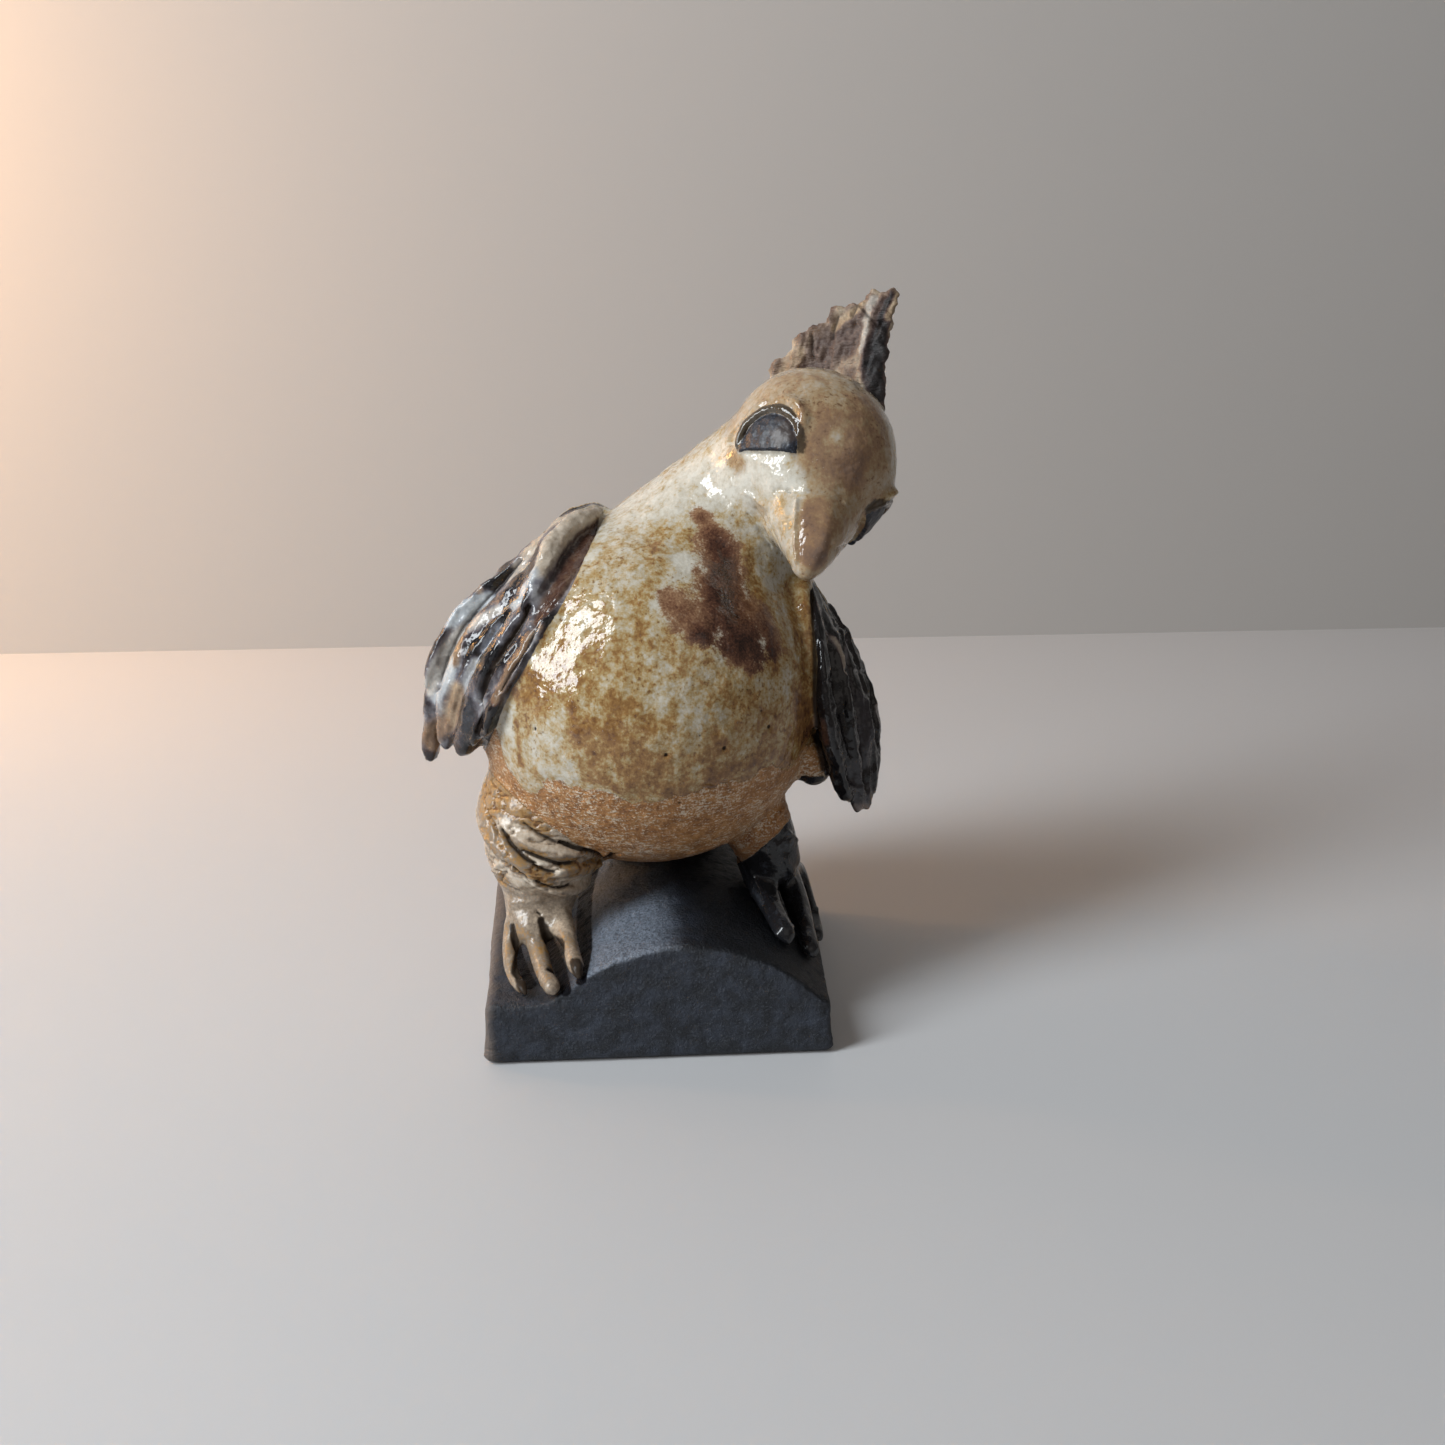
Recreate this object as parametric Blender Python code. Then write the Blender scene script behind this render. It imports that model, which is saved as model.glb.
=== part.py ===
"""Bird sculpture: a glazed stoneware bird with a crest, perched on a half-round block.

Metres, +Z up. The origin is the middle of the block's flat underside, and the bird's breast
faces -Y. Two solids: the block, and the bird modelled as one skin of clay over it.
"""
import math

import bmesh
import bpy
from mathutils import Matrix, Vector

# Block
BLOCK_WIDTH = 0.0905
BLOCK_FLARE = 0.0065
BLOCK_DEPTH = 0.086
BLOCK_CROWN = 0.033
BLOCK_RISE = 0.003
ARCH_RADIUS = 0.046
ARCH_OFFSET = 0.0065
LEFT_SHOULDER = 0.0175
RIGHT_SHOULDER = 0.0145
SHOULDER_FILLET = 0.003
BLOCK_EDGE = 0.0018
FOOT_FLARE = 0.0016

# Bird. The figure is drawn on a canon of 157 parts from its seat to the tip of its crest.
BIRD_HEIGHT = 0.157
CANON_PARTS = 157
SEAM = 0.0003

# Fineness of the modelled skin
SKIN_GRAIN = 0.0010
SKIN_FACES = 8300
SKIN_SOFTENING = 3

PART = BIRD_HEIGHT / CANON_PARTS
FRONT = -BLOCK_DEPTH / 2


def clear_scene():
    for thing in list(bpy.data.objects):
        bpy.data.objects.remove(thing, do_unlink=True)


def clay(name, colour, roughness, metallic=0.0):
    material = bpy.data.materials.new(name)
    material.use_nodes = True
    shader = material.node_tree.nodes["Principled BSDF"]
    shader.inputs["Base Color"].default_value = (*colour, 1.0)
    shader.inputs["Roughness"].default_value = roughness
    shader.inputs["Metallic"].default_value = metallic
    return material


def new_object(name, mesh_builder):
    mesh = bpy.data.meshes.new(name)
    mesh_builder.normal_update()
    mesh_builder.to_mesh(mesh)
    mesh_builder.free()
    thing = bpy.data.objects.new(name, mesh)
    bpy.context.scene.collection.objects.link(thing)
    return thing


# The block

def block_half(y):
    depth_share = min(max((y - FRONT) / BLOCK_DEPTH, 0.0), 1.0)
    return (BLOCK_WIDTH + BLOCK_FLARE * depth_share) / 2


def block_top(x, y):
    """Height of the block's upper surface: a round arch that runs out into two low shoulders."""
    depth_share = min(max((y - FRONT) / BLOCK_DEPTH, 0.0), 1.0)
    crown = BLOCK_CROWN + BLOCK_RISE * depth_share
    across = min(abs(x - ARCH_OFFSET), ARCH_RADIUS * 0.98)
    arch = crown - ARCH_RADIUS + math.sqrt(ARCH_RADIUS ** 2 - across ** 2)
    side_share = 0.5 + 0.5 * math.tanh((x - ARCH_OFFSET) / (0.2 * BLOCK_WIDTH))
    shoulder = LEFT_SHOULDER + (RIGHT_SHOULDER - LEFT_SHOULDER) * side_share
    return (arch + shoulder + math.hypot(arch - shoulder, SHOULDER_FILLET)) / 2


def block_section(y, inset, growth):
    """One closed outline of the block across its width, drawn in by inset at a rounded end."""
    half = block_half(y) - inset + growth
    points = []
    wall_steps = 4
    edge = BLOCK_EDGE
    for side in (-1, 1):
        corner = []
        outer = side * half
        top = block_top(side * (half - edge), y) - inset + growth
        for step in range(wall_steps + 1):
            rise = step / wall_steps
            flare = FOOT_FLARE * (1 - rise) ** 3
            corner.append((outer + side * flare, -growth + (top - edge + growth) * rise))
        for step in range(1, 4):
            angle = math.radians(90 * step / 3)
            corner.append((outer - side * edge * (1 - math.cos(angle)), top - edge + edge * math.sin(angle)))
        points.append(corner)
    arch = []
    arch_steps = 26
    span = half - edge
    for step in range(1, arch_steps):
        x = -span + 2 * span * step / arch_steps
        arch.append((x, block_top(x, y) - inset + growth))
    return points[0] + arch + points[1][::-1]


def build_block(name, growth=0.0):
    """Loft the sections from front to back, with a quarter-round at each end face."""
    rows = []
    round_steps = 4
    for end in (-1, 1):
        rounds = []
        for step in range(round_steps + 1):
            angle = math.radians(90 * step / round_steps)
            from_face = BLOCK_EDGE * (1 - math.cos(angle))
            inset = BLOCK_EDGE * (1 - math.sin(angle))
            rounds.append((end * (BLOCK_DEPTH / 2 - from_face + growth), inset))
        rows.append(rounds)
    middle_steps = 5
    first = rows[0][-1][0]
    last = rows[1][-1][0]
    middle = [(first + (last - first) * step / middle_steps, 0.0) for step in range(1, middle_steps)]
    stations = rows[0] + middle + rows[1][::-1]
    builder = bmesh.new()
    rings = []
    for y, inset in stations:
        rings.append([builder.verts.new((x, y, z)) for x, z in block_section(y, inset, growth)])
    for near, far in zip(rings, rings[1:]):
        count = len(near)
        for index in range(count):
            following = (index + 1) % count
            builder.faces.new((near[index], near[following], far[following], far[index]))
    builder.faces.new(rings[0][::-1])
    builder.faces.new(rings[-1])
    bmesh.ops.recalc_face_normals(builder, faces=builder.faces)
    return new_object(name, builder)


# Lumps, coils and lofts of clay

def at(x, y, z):
    """A point of the figure, in parts: from the middle of the block, and up from the seat."""
    seat = BLOCK_CROWN + BLOCK_RISE * 0.65
    return Vector((x * PART, y * PART, seat + z * PART))


def on_block(across, along, lift):
    """A point over the block: across and along as shares of its half width and half depth."""
    y = along * BLOCK_DEPTH / 2
    x = across * block_half(y)
    return Vector((x, y, block_top(x, y) + lift * PART))


def through(points, share):
    """A smooth curve through the points, each a list of values, at share 0 to 1."""
    spans = len(points) - 1
    place = min(max(share, 0.0), 1.0) * spans
    index = min(int(place), spans - 1)
    t = place - index
    before = points[max(index - 1, 0)]
    start = points[index]
    end = points[index + 1]
    after = points[min(index + 2, spans)]
    values = []
    for a, b, c, d in zip(before, start, end, after):
        slope = (c - a) / 2
        next_slope = (d - b) / 2
        values.append(b * (2 * t ** 3 - 3 * t ** 2 + 1) + slope * (t ** 3 - 2 * t ** 2 + t)
                      + c * (3 * t ** 2 - 2 * t ** 3) + next_slope * (t ** 3 - t ** 2))
    return values


class Clay:
    """Collects closed lumps in one mesh, which the remesh then fuses into one skin."""

    def __init__(self):
        self.builder = bmesh.new()

    def lump(self, centre, radii, turn=None, rings=3):
        frame = Matrix.Translation(centre)
        if turn is not None:
            frame = frame @ turn.to_4x4()
        frame = frame @ Matrix.Diagonal((*[radius * PART for radius in radii], 1.0))
        bmesh.ops.create_icosphere(self.builder, subdivisions=rings, radius=1.0, matrix=frame)

    def coil(self, stations, flat=1.0, across=None, sides=14, steps=7):
        """Loft round sections along stations (point, radius), flattened square to across."""
        table = [[*point, radius * PART] for point, radius in stations]
        count = steps * (len(table) - 1)
        rows = [through(table, step / count) for step in range(count + 1)]
        rings = []
        for index, row in enumerate(rows):
            ahead = Vector(rows[min(index + 1, count)][:3]) - Vector(rows[max(index - 1, 0)][:3])
            ahead.normalize()
            wide = across.copy() if across is not None else Vector((0.13, 0.37, 0.92))
            wide = (wide - ahead * wide.dot(ahead)).normalized()
            thin = ahead.cross(wide)
            ring = []
            for side in range(sides):
                angle = 2 * math.pi * side / sides
                offset = wide * math.cos(angle) + thin * math.sin(angle) * flat
                ring.append(self.builder.verts.new(Vector(row[:3]) + offset * row[3]))
            rings.append(ring)
        for near, far in zip(rings, rings[1:]):
            for side in range(sides):
                following = (side + 1) % sides
                self.builder.faces.new((near[side], near[following], far[following], far[side]))
        self.cap(rings[0][::-1], rows[0], rows[1], flat)
        self.cap(rings[-1], rows[-1], rows[-2], flat)

    def cap(self, ring, row, inner, flat):
        """Close an end with a low dome."""
        outward = (Vector(row[:3]) - Vector(inner[:3])).normalized()
        tip = self.builder.verts.new(Vector(row[:3]) + outward * row[3] * min(flat, 1.0) * 0.8)
        for side, corner in enumerate(ring):
            following = ring[(side + 1) % len(ring)]
            self.builder.faces.new((corner, following, tip))


# The bird

HEAD = (43.3, 7.0, 114.9)
HEAD_RADIUS = 22.2
BEAK_WAY = Vector((-0.118, -0.853, -0.508)).normalized()
SIDE_WAY = Vector((0.747, 0.163, -0.644)).normalized()
CROWN_WAY = BEAK_WAY.cross(SIDE_WAY).normalized()
HEAD_TURN = Matrix((BEAK_WAY, SIDE_WAY, CROWN_WAY)).transposed()


def on_head(forward, aside, up):
    return at(*HEAD) + (BEAK_WAY * forward + SIDE_WAY * aside + CROWN_WAY * up) * PART


def body(clay_mass):
    """Belly ball, neck and head as one pear that leans to the bird's left and turns down."""
    clay_mass.lump(at(-1, 7.2, 51.3), (47.5, 47.5, 47.5), rings=4)
    clay_mass.coil([
        (at(-1, 7.2, 51.3), 47.3), (at(6, 12, 66), 41.4), (at(14, 16, 79), 33.6), (at(21.5, 18, 91), 26.4),
        (at(29.5, 17, 101), 22.0), (at(37, 12, 109), 21.0), (at(43.3, 7.0, 114.9), 21.6),
    ], sides=40, steps=5)
    clay_mass.lump(at(-1, 27, 20), (31, 25, 27))
    clay_mass.lump(at(-2, 24, 36), (41, 33, 32))


def tail(clay_mass):
    """A short plain stub, behind the block."""
    clay_mass.coil([
        (at(-2, 40, 60), 19), (at(-3, 55, 50), 16.5), (at(-4, 64, 41), 14), (at(-5, 70, 34), 11),
    ], flat=0.4, across=Vector((1, 0, 0)), sides=20)


def head(clay_mass):
    """A round skull that draws out into a stout cone of a beak with one ridge down it."""
    clay_mass.lump(at(*HEAD), (HEAD_RADIUS, HEAD_RADIUS, HEAD_RADIUS), HEAD_TURN, rings=4)
    clay_mass.coil([
        (on_head(4, 0, 0), 20.8), (on_head(12, 1.2, -1.2), 17.2), (on_head(19, 2.2, -2.2), 13.2),
        (on_head(25, 2.2, -2.8), 10.4),
    ], sides=28)
    clay_mass.coil([
        (on_head(18, 1.0, -1.2), 11.4), (on_head(25, 1.3, -1.0), 10.0), (on_head(31, 1.5, -1.0), 7.9),
        (on_head(37, 1.5, -1.6), 5.2), (on_head(41.3, 1.3, -2.6), 2.6),
    ], sides=24)
    clay_mass.coil([
        (on_head(22, -0.6, 7.6), 2.0), (on_head(29, -0.2, 6.4), 2.0), (on_head(36, 0.5, 3.4), 1.7),
        (on_head(41, 1.0, -0.8), 1.3),
    ], sides=10)


def eye(clay_mass, side):
    """A domed eye, with a thick hood of clay on the side away from the beak and a thin rim before it."""
    middle = on_head(10.8, side * 18.4, 4.2)
    outward = (middle - at(*HEAD)).normalized()
    along = (BEAK_WAY - outward * BEAK_WAY.dot(outward)).normalized()
    upward = outward.cross(along)
    turn = Matrix((along, upward, outward)).transposed()
    clay_mass.lump(middle + outward * 0.6 * PART, (6.2, 7.2, 3.6), turn)
    lid_steps = 20
    hood_from = math.radians(78)
    hood_to = math.radians(282)
    rims = ((hood_from, hood_to, 1.9, 0.9), (hood_to, 2 * math.pi + hood_from, 1.1, 0.1))
    for start, end, radius, proud in rims:
        stations = []
        for step in range(lid_steps + 1):
            angle = start + (end - start) * step / lid_steps
            place = middle + (along * math.cos(angle) * 7.0 + upward * math.sin(angle) * 8.4) * PART
            stations.append((place + outward * (proud - 0.8) * PART, radius))
        clay_mass.coil(stations, sides=8, steps=1)


def crest(clay_mass):
    """An upright comb: a thick front ridge, then ragged round-ended lobes that shorten to the nape."""
    front_root = Vector((59.8, 13.5, 125))
    nape_root = Vector((36.8, 30.5, 126))
    tip = Vector((66.8, 25.0, 156.4))
    nape_tip = Vector((36.6, 31.0, 139))
    plane = (tip - front_root).cross(nape_root - front_root).normalized()
    grain = (nape_root - front_root).normalized()
    lobes = 7
    ragged = (0.8, 1.6, -0.6, 1.4, 0.0, 1.6, 0.2)
    for index in range(lobes):
        share = index / (lobes - 1)
        root = front_root.lerp(nape_root, share)
        end = tip.lerp(nape_tip, share)
        end = end + (end - root).normalized() * (ragged[index] + 3.8 * math.sin(math.pi * share) - 0.6)
        middle = root.lerp(end, 0.5) + grain * 1.6 * (1 - share) + plane * 0.5 * math.sin(9.0 * share)
        wide = 3.4 - 0.3 * share
        clay_mass.coil([
            (at(*(root - (end - root) * 0.25)), wide * 1.15), (at(*root), wide * 1.05),
            (at(*middle), wide * 0.95), (at(*end), wide * 0.72),
        ], flat=0.6, across=grain, sides=12, steps=5)
    ridge = front_root.lerp(tip, 0.5) + grain * 1.8
    clay_mass.coil([
        (at(*(front_root - (tip - front_root) * 0.2)), 3.2), (at(*front_root), 2.9),
        (at(*ridge), 2.5), (at(*tip), 1.9),
    ], sides=12, steps=5)


def wing(clay_mass, inner, outer, feathers, tips, thick, bow):
    """Long coils side by side from the shoulder to a ragged lower edge.

    inner and outer are the paths of the first and last feather, tips how far each one
    reaches past the last station, bow how far the middle feathers stand off the body.
    """
    for index in range(feathers):
        share = index / (feathers - 1)
        rise = bow * math.sin(math.pi * share)
        stations = []
        lengths = len(inner)
        for step in range(lengths):
            here = Vector(inner[step]).lerp(Vector(outer[step]), share)
            away = Vector((here.x, here.y * 0.4, 0.0)).normalized()
            swell = math.sin(math.pi * (0.18 + 0.72 * step / (lengths - 1)))
            stations.append((at(*(here + away * rise * swell)), thick * (0.62 + 0.38 * swell)))
        last = Vector(inner[-1]).lerp(Vector(outer[-1]), share)
        before = Vector(inner[-2]).lerp(Vector(outer[-2]), share)
        end = last + (last - before).normalized() * tips[index]
        stations.append((at(*end), thick * 0.5))
        clay_mass.coil(stations, flat=0.8, across=Vector((0.3, 0.9, 0.2)), sides=12)


def web(clay_mass, inner, outer, thick, stop):
    """The thin sheet of clay under the feathers."""
    ribs = 9
    for index in range(ribs):
        share = index / (ribs - 1)
        stations = []
        for near, far in list(zip(inner, outer))[:stop]:
            stations.append((at(*Vector(near).lerp(Vector(far), share)), thick))
        clay_mass.coil(stations, flat=0.6, across=Vector((0.3, 0.9, 0.2)), sides=10, steps=5)


def left_wing(clay_mass):
    """The wing at the viewer's left, flung a little off the body, with a rolled shoulder."""
    inner = ((-27, -13, 84), (-33.5, -15, 75), (-40.5, -14.5, 64.5), (-46, -12, 53), (-49.5, -9, 43))
    outer = ((-24, 14, 93), (-38, 13, 81), (-49.5, 11, 70.5), (-57, 9, 59), (-59, 7, 47))
    breast_edge = ((-19, -14, 89), (-26, -22.5, 80), (-32.5, -25, 71), (-38.5, -24.5, 61), (-43, -22, 50))
    web(clay_mass, inner, outer, 3.0, 5)
    web(clay_mass, breast_edge, inner, 2.2, 5)
    wing(clay_mass, inner, outer, 3, (3, 6, 14), 5.8, 1.6)
    clay_mass.coil([
        (at(-13.5, 18, 98.5), 3.6), (at(-19.5, 10, 96.5), 5.0), (at(-23.4, 2, 92.8), 5.4),
        (at(-26.2, -5, 88.3), 5.4), (at(-28.5, -11, 83.3), 5.0), (at(-32, -14, 77), 3.8),
    ])


def right_wing(clay_mass):
    """The wing at the viewer's right, hanging close with two rounded tips."""
    inner = ((40, 3, 83), (43.2, -6, 69), (44.6, -11, 56), (47.4, -13, 43.7), (50.5, -12, 30.7))
    outer = ((42, 15, 79), (51.5, 14, 65), (57.5, 11, 53), (61, 7, 42), (61.3, 3, 31))
    web(clay_mass, inner, outer, 2.8, 5)
    wing(clay_mass, inner, outer, 4, (6, 11, 12, 9), 4.3, 1.0)
    clay_mass.lump(at(44, -3, 35), (6, 8, 9))


def leg(clay_mass, stations, folds, fold_radius):
    """A stout stocking of clay, with folds wrapped round it that slope towards the viewer's right."""
    clay_mass.coil(stations, sides=24)
    table = [[*point, radius * PART] for point, radius in stations]
    turns = 18
    for index in range(folds):
        middle = 0.24 + 0.50 * index / max(folds - 1, 1)
        slope = 0.13 + 0.03 * index
        ring = []
        for step in range(turns + 1):
            angle = 2 * math.pi * step / turns
            share = middle + slope * math.cos(angle) - 0.05 * math.cos(2 * angle)
            row = through(table, share)
            round_way = Vector((math.cos(angle), math.sin(angle), 0.0))
            ring.append((Vector(row[:3]) + round_way * row[3], fold_radius))
        clay_mass.coil(ring, sides=8, steps=1)


def toe(clay_mass, root, path, radius, claw):
    """A round toe from its root over the block, given as (across, along, lift), with a small claw."""
    clay_mass.coil([(root, radius * 1.5), (on_block(*path[0]), radius * 1.25)], sides=12, steps=3)
    stations = []
    last = len(path) - 1
    for index, (across, along, lift) in enumerate(path):
        share = index / last
        size = radius * (1.25 - 0.35 * share + 0.10 * math.sin(2.6 * math.pi * share))
        stations.append((on_block(across, along, lift), size))
    clay_mass.coil(stations, sides=12)
    if claw:
        tip = stations[-1][0]
        onward = (tip - stations[-2][0]).normalized() * radius * PART
        clay_mass.coil([
            (tip, radius * 0.75), (tip + onward * 0.9, radius * 0.6),
            (tip + onward * 1.6 - Vector((0, 0, 0.4 * radius * PART)), radius * 0.3),
        ], sides=8)


def left_leg(clay_mass):
    """The leg at the viewer's left, in loose wrinkled folds down to a hand of three long toes."""
    ankle = on_block(-0.675, -0.28, 19)
    palm = on_block(-0.70, -0.41, 13)
    leg(clay_mass, [(at(-24, 6, 37), 17), (at(-28.5, -2, 25), 18), (at(-30.5, -8, 13.5), 17), (ankle, 11.6)], 5, 1.9)
    clay_mass.coil([(ankle, 11.0), (palm, 8.6), (on_block(-0.70, -0.52, 9), 6.4)],
                   flat=0.62, across=Vector((1, 0, 0)), sides=16)
    toe(clay_mass, palm, ((-0.84, -0.36, 11), (-0.86, -0.56, 6), (-0.84, -0.74, 3), (-0.785, -0.87, 2)), 2.1, True)
    toe(clay_mass, palm, ((-0.71, -0.40, 11.5), (-0.69, -0.60, 6), (-0.65, -0.80, 3), (-0.605, -0.96, 2)), 2.4, False)
    toe(clay_mass, palm, ((-0.57, -0.38, 11), (-0.53, -0.60, 6.5), (-0.495, -0.78, 3.8), (-0.47, -0.92, 2)), 2.5, True)
    toe(clay_mass, ankle, ((-0.62, -0.1, 14), (-0.66, 0.2, 7), (-0.68, 0.44, 3), (-0.69, 0.6, 1.6)), 2.8, False)


def right_leg(clay_mass):
    """The leg at the viewer's right, smooth, its toes drawn down over the block's flank."""
    foot = at(34.5, -1, 0)
    leg(clay_mass, [(at(24, 7, 28), 12), (at(27, 1, 18), 10.5), (at(31, -1, 9), 9.2), (foot, 7.6)], 0, 0)
    toe(clay_mass, foot, ((0.58, 0.14, 6), (0.64, -0.12, 3.6), (0.69, -0.36, 2.8), (0.75, -0.6, 1.2)), 3.6, False)
    toe(clay_mass, foot, ((0.79, 0.16, 9), (0.86, -0.09, 5), (0.89, -0.33, 3.0), (0.905, -0.52, 1.4)), 3.2, False)
    toe(clay_mass, foot, ((0.88, 0.30, 9), (0.955, 0.04, 3.6), (0.975, -0.2, 1.2)), 2.6, False)
    toe(clay_mass, foot, ((0.70, 0.2, 13), (0.74, 0.42, 6), (0.77, 0.62, 2)), 2.8, False)


def build_bird(clearance):
    clay_mass = Clay()
    body(clay_mass)
    tail(clay_mass)
    head(clay_mass)
    eye(clay_mass, -1)
    eye(clay_mass, 1)
    crest(clay_mass)
    left_wing(clay_mass)
    right_wing(clay_mass)
    left_leg(clay_mass)
    right_leg(clay_mass)
    bmesh.ops.recalc_face_normals(clay_mass.builder, faces=clay_mass.builder.faces)
    bird = new_object("bird", clay_mass.builder)
    skin = bird.modifiers.new("one skin", "REMESH")
    skin.mode = "VOXEL"
    skin.voxel_size = SKIN_GRAIN
    soften = bird.modifiers.new("thumbed smooth", "SMOOTH")
    soften.factor = 0.5
    soften.iterations = SKIN_SOFTENING
    bpy.context.view_layer.update()
    smooth_mesh = bird.evaluated_get(bpy.context.evaluated_depsgraph_get()).to_mesh()
    skin_faces = sum(len(face.vertices) - 2 for face in smooth_mesh.polygons)
    thin = bird.modifiers.new("fewer faces", "DECIMATE")
    thin.ratio = SKIN_FACES / skin_faces
    seat = bird.modifiers.new("seat on the block", "BOOLEAN")
    seat.operation = "DIFFERENCE"
    seat.solver = "EXACT"
    seat.object = clearance
    return bird


def main():
    clear_scene()
    block = build_block("base")
    block.data.materials.append(clay("matt black stoneware", (0.035, 0.037, 0.042), 0.62))
    block.data.shade_smooth()
    block.data.set_sharp_from_angle(angle=math.radians(40))
    clearance = build_block("block clearance", SEAM)
    clearance.hide_render = True
    clearance.display_type = "WIRE"
    bird = build_bird(clearance)
    bird.data.materials.append(clay("glazed stoneware", (0.52, 0.44, 0.31), 0.3))
    bird.data.shade_smooth()


main()
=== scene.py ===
"""Bird sculpture in glazed stoneware: a crested bird on a black half-round block.

Metres, +Z up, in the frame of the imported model.
"""
import math

import bpy
import numpy as np
from mathutils import Matrix, Vector
from mathutils.bvhtree import BVHTree


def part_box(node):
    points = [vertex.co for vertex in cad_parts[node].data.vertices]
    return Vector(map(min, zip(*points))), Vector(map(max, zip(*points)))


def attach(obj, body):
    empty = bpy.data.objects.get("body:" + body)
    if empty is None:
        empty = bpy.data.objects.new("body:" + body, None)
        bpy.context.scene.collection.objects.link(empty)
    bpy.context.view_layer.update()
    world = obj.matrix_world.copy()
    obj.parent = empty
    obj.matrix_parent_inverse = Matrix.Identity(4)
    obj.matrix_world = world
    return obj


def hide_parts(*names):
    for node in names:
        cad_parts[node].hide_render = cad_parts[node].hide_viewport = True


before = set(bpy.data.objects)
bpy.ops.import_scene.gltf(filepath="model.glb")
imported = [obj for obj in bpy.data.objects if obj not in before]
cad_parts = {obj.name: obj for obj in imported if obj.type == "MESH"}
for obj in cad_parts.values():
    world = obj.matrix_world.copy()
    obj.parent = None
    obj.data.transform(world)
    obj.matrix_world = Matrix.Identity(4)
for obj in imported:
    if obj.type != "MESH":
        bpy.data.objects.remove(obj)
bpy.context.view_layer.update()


# The viewpoint: about 0.4 m from the bird, a little above it, looking down. Its focal length and
# tilt come from the perspective of right angles on the ground.
PHOTO_SIDE = 1445
FOCAL_PIXELS = 1460
CAMERA_PLACE = Vector((-0.00655, -0.3773, 0.209))
CAMERA_PITCH = math.radians(71)
CAMERA_TURN = math.radians(-3.9)
SENSOR = 36.0

camera_data = bpy.data.cameras.new("photo_camera")
camera_data.sensor_width = SENSOR
camera_data.lens = SENSOR * FOCAL_PIXELS / PHOTO_SIDE
camera_data.clip_start = 0.01
camera = bpy.data.objects.new("photo_camera", camera_data)
camera.location = CAMERA_PLACE
camera.rotation_euler = (CAMERA_PITCH, 0.0, CAMERA_TURN)
bpy.context.scene.collection.objects.link(camera)
bpy.context.scene.camera = camera
bpy.context.view_layer.update()


def sight(pixel):
    """The direction in which the camera sees a pixel of the photo."""
    right = (pixel[0] - PHOTO_SIDE / 2) / FOCAL_PIXELS
    up = (PHOTO_SIDE / 2 - pixel[1]) / FOCAL_PIXELS
    return (camera.matrix_world.to_3x3() @ Vector((right, up, -1.0))).normalized()


# The block: a half-round saddle of black stoneware with two low shoulders, cut with a wire and
# fired unglazed, so its face is matt and pitted. Light is painted into its colour: painted glints
# and a painted bluish sheen on the top left, painted shade on the top right, painted warm light on
# the left side and painted shadow in the gaps by the toes.
MM = 0.001
BLOCK_GRAIN = 0.75 * MM
BLOCK_PITTING = 0.22 * MM
BLOCK_WAVE = 0.45 * MM
BLOCK_RUBBING = 9
FOOT_ROUND = 3.2 * MM
FRONT_WIDTH = 93.0 * MM
SCULPTURE_DISTANCE = 0.39
WELD = 0.02 * MM
CHIPS = (((518, 1059), 1.9), ((800, 1054), 1.5), ((560, 1002), 1.1), ((826, 1012), 1.3))
BLACK_CLAY = (0.006, 0.008, 0.013)
BLACK_CLAY_WORN = (0.024, 0.031, 0.048)
PAINTED_SHEEN_BLUE = (0.170, 0.200, 0.250)
GRIT_GREY = (0.070, 0.080, 0.098)
PAINTED_GLINT = (0.30, 0.33, 0.38)
PAINTED_SHADE_BLACK = (0.005, 0.006, 0.008)
PAINTED_WARM_LIGHT = (0.17, 0.135, 0.115)
PAINTED_GAP_SHADOW = (0.004, 0.004, 0.006)
# painted shadow: dark paths in the gaps between the toes and beside them
TOE_GAP_SHADOWS = {
    "left_gap": ((511, 926, 0.8), (517, 948, 1.4), (524, 968, 1.5), (530, 984, 2.0)),
    "right_gap": ((541, 920, 1.2), (550, 945, 2.0), (559, 968, 2.0), (565, 990, 1.8)),
    "beside_toes": ((592, 868, 2.6), (585, 892, 3.0), (583, 925, 2.8), (584, 955, 2.4), (580, 978, 2.0)),
}


def choose_only(thing):
    bpy.ops.object.select_all(action="DESELECT")
    thing.select_set(True)
    bpy.context.view_layer.objects.active = thing


def copy_of_node(node_name, piece_name):
    """A new object with the node's form, its loose triangles merged into one skin."""
    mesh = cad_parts[node_name].data.copy()
    mesh.materials.clear()
    piece = bpy.data.objects.new(piece_name, mesh)
    bpy.context.scene.collection.objects.link(piece)
    choose_only(piece)
    bpy.ops.mesh.customdata_custom_splitnormals_clear()
    bpy.ops.object.mode_set(mode="EDIT")
    bpy.ops.mesh.select_all(action="SELECT")
    bpy.ops.mesh.remove_doubles(threshold=WELD)
    bpy.ops.mesh.normals_make_consistent(inside=False)
    bpy.ops.object.mode_set(mode="OBJECT")
    return piece


def finish_with(piece, kind, **settings):
    """Add one modifier to the piece and apply it."""
    choose_only(piece)
    modifier = piece.modifiers.new(kind.lower(), kind)
    for name, value in settings.items():
        setattr(modifier, name, value)
    bpy.ops.object.modifier_apply(modifier=modifier.name)


def vertices_of(piece):
    places = np.empty(len(piece.data.vertices) * 3, np.float32)
    piece.data.vertices.foreach_get("co", places)
    return places.reshape(-1, 3).astype(float)


def normals_of(piece):
    ways = np.empty(len(piece.data.vertices) * 3, np.float32)
    piece.data.vertices.foreach_get("normal", ways)
    return ways.reshape(-1, 3).astype(float)


def put_vertices(piece, places):
    piece.data.vertices.foreach_set("co", places.astype(np.float32).ravel())
    piece.data.update()


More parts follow.
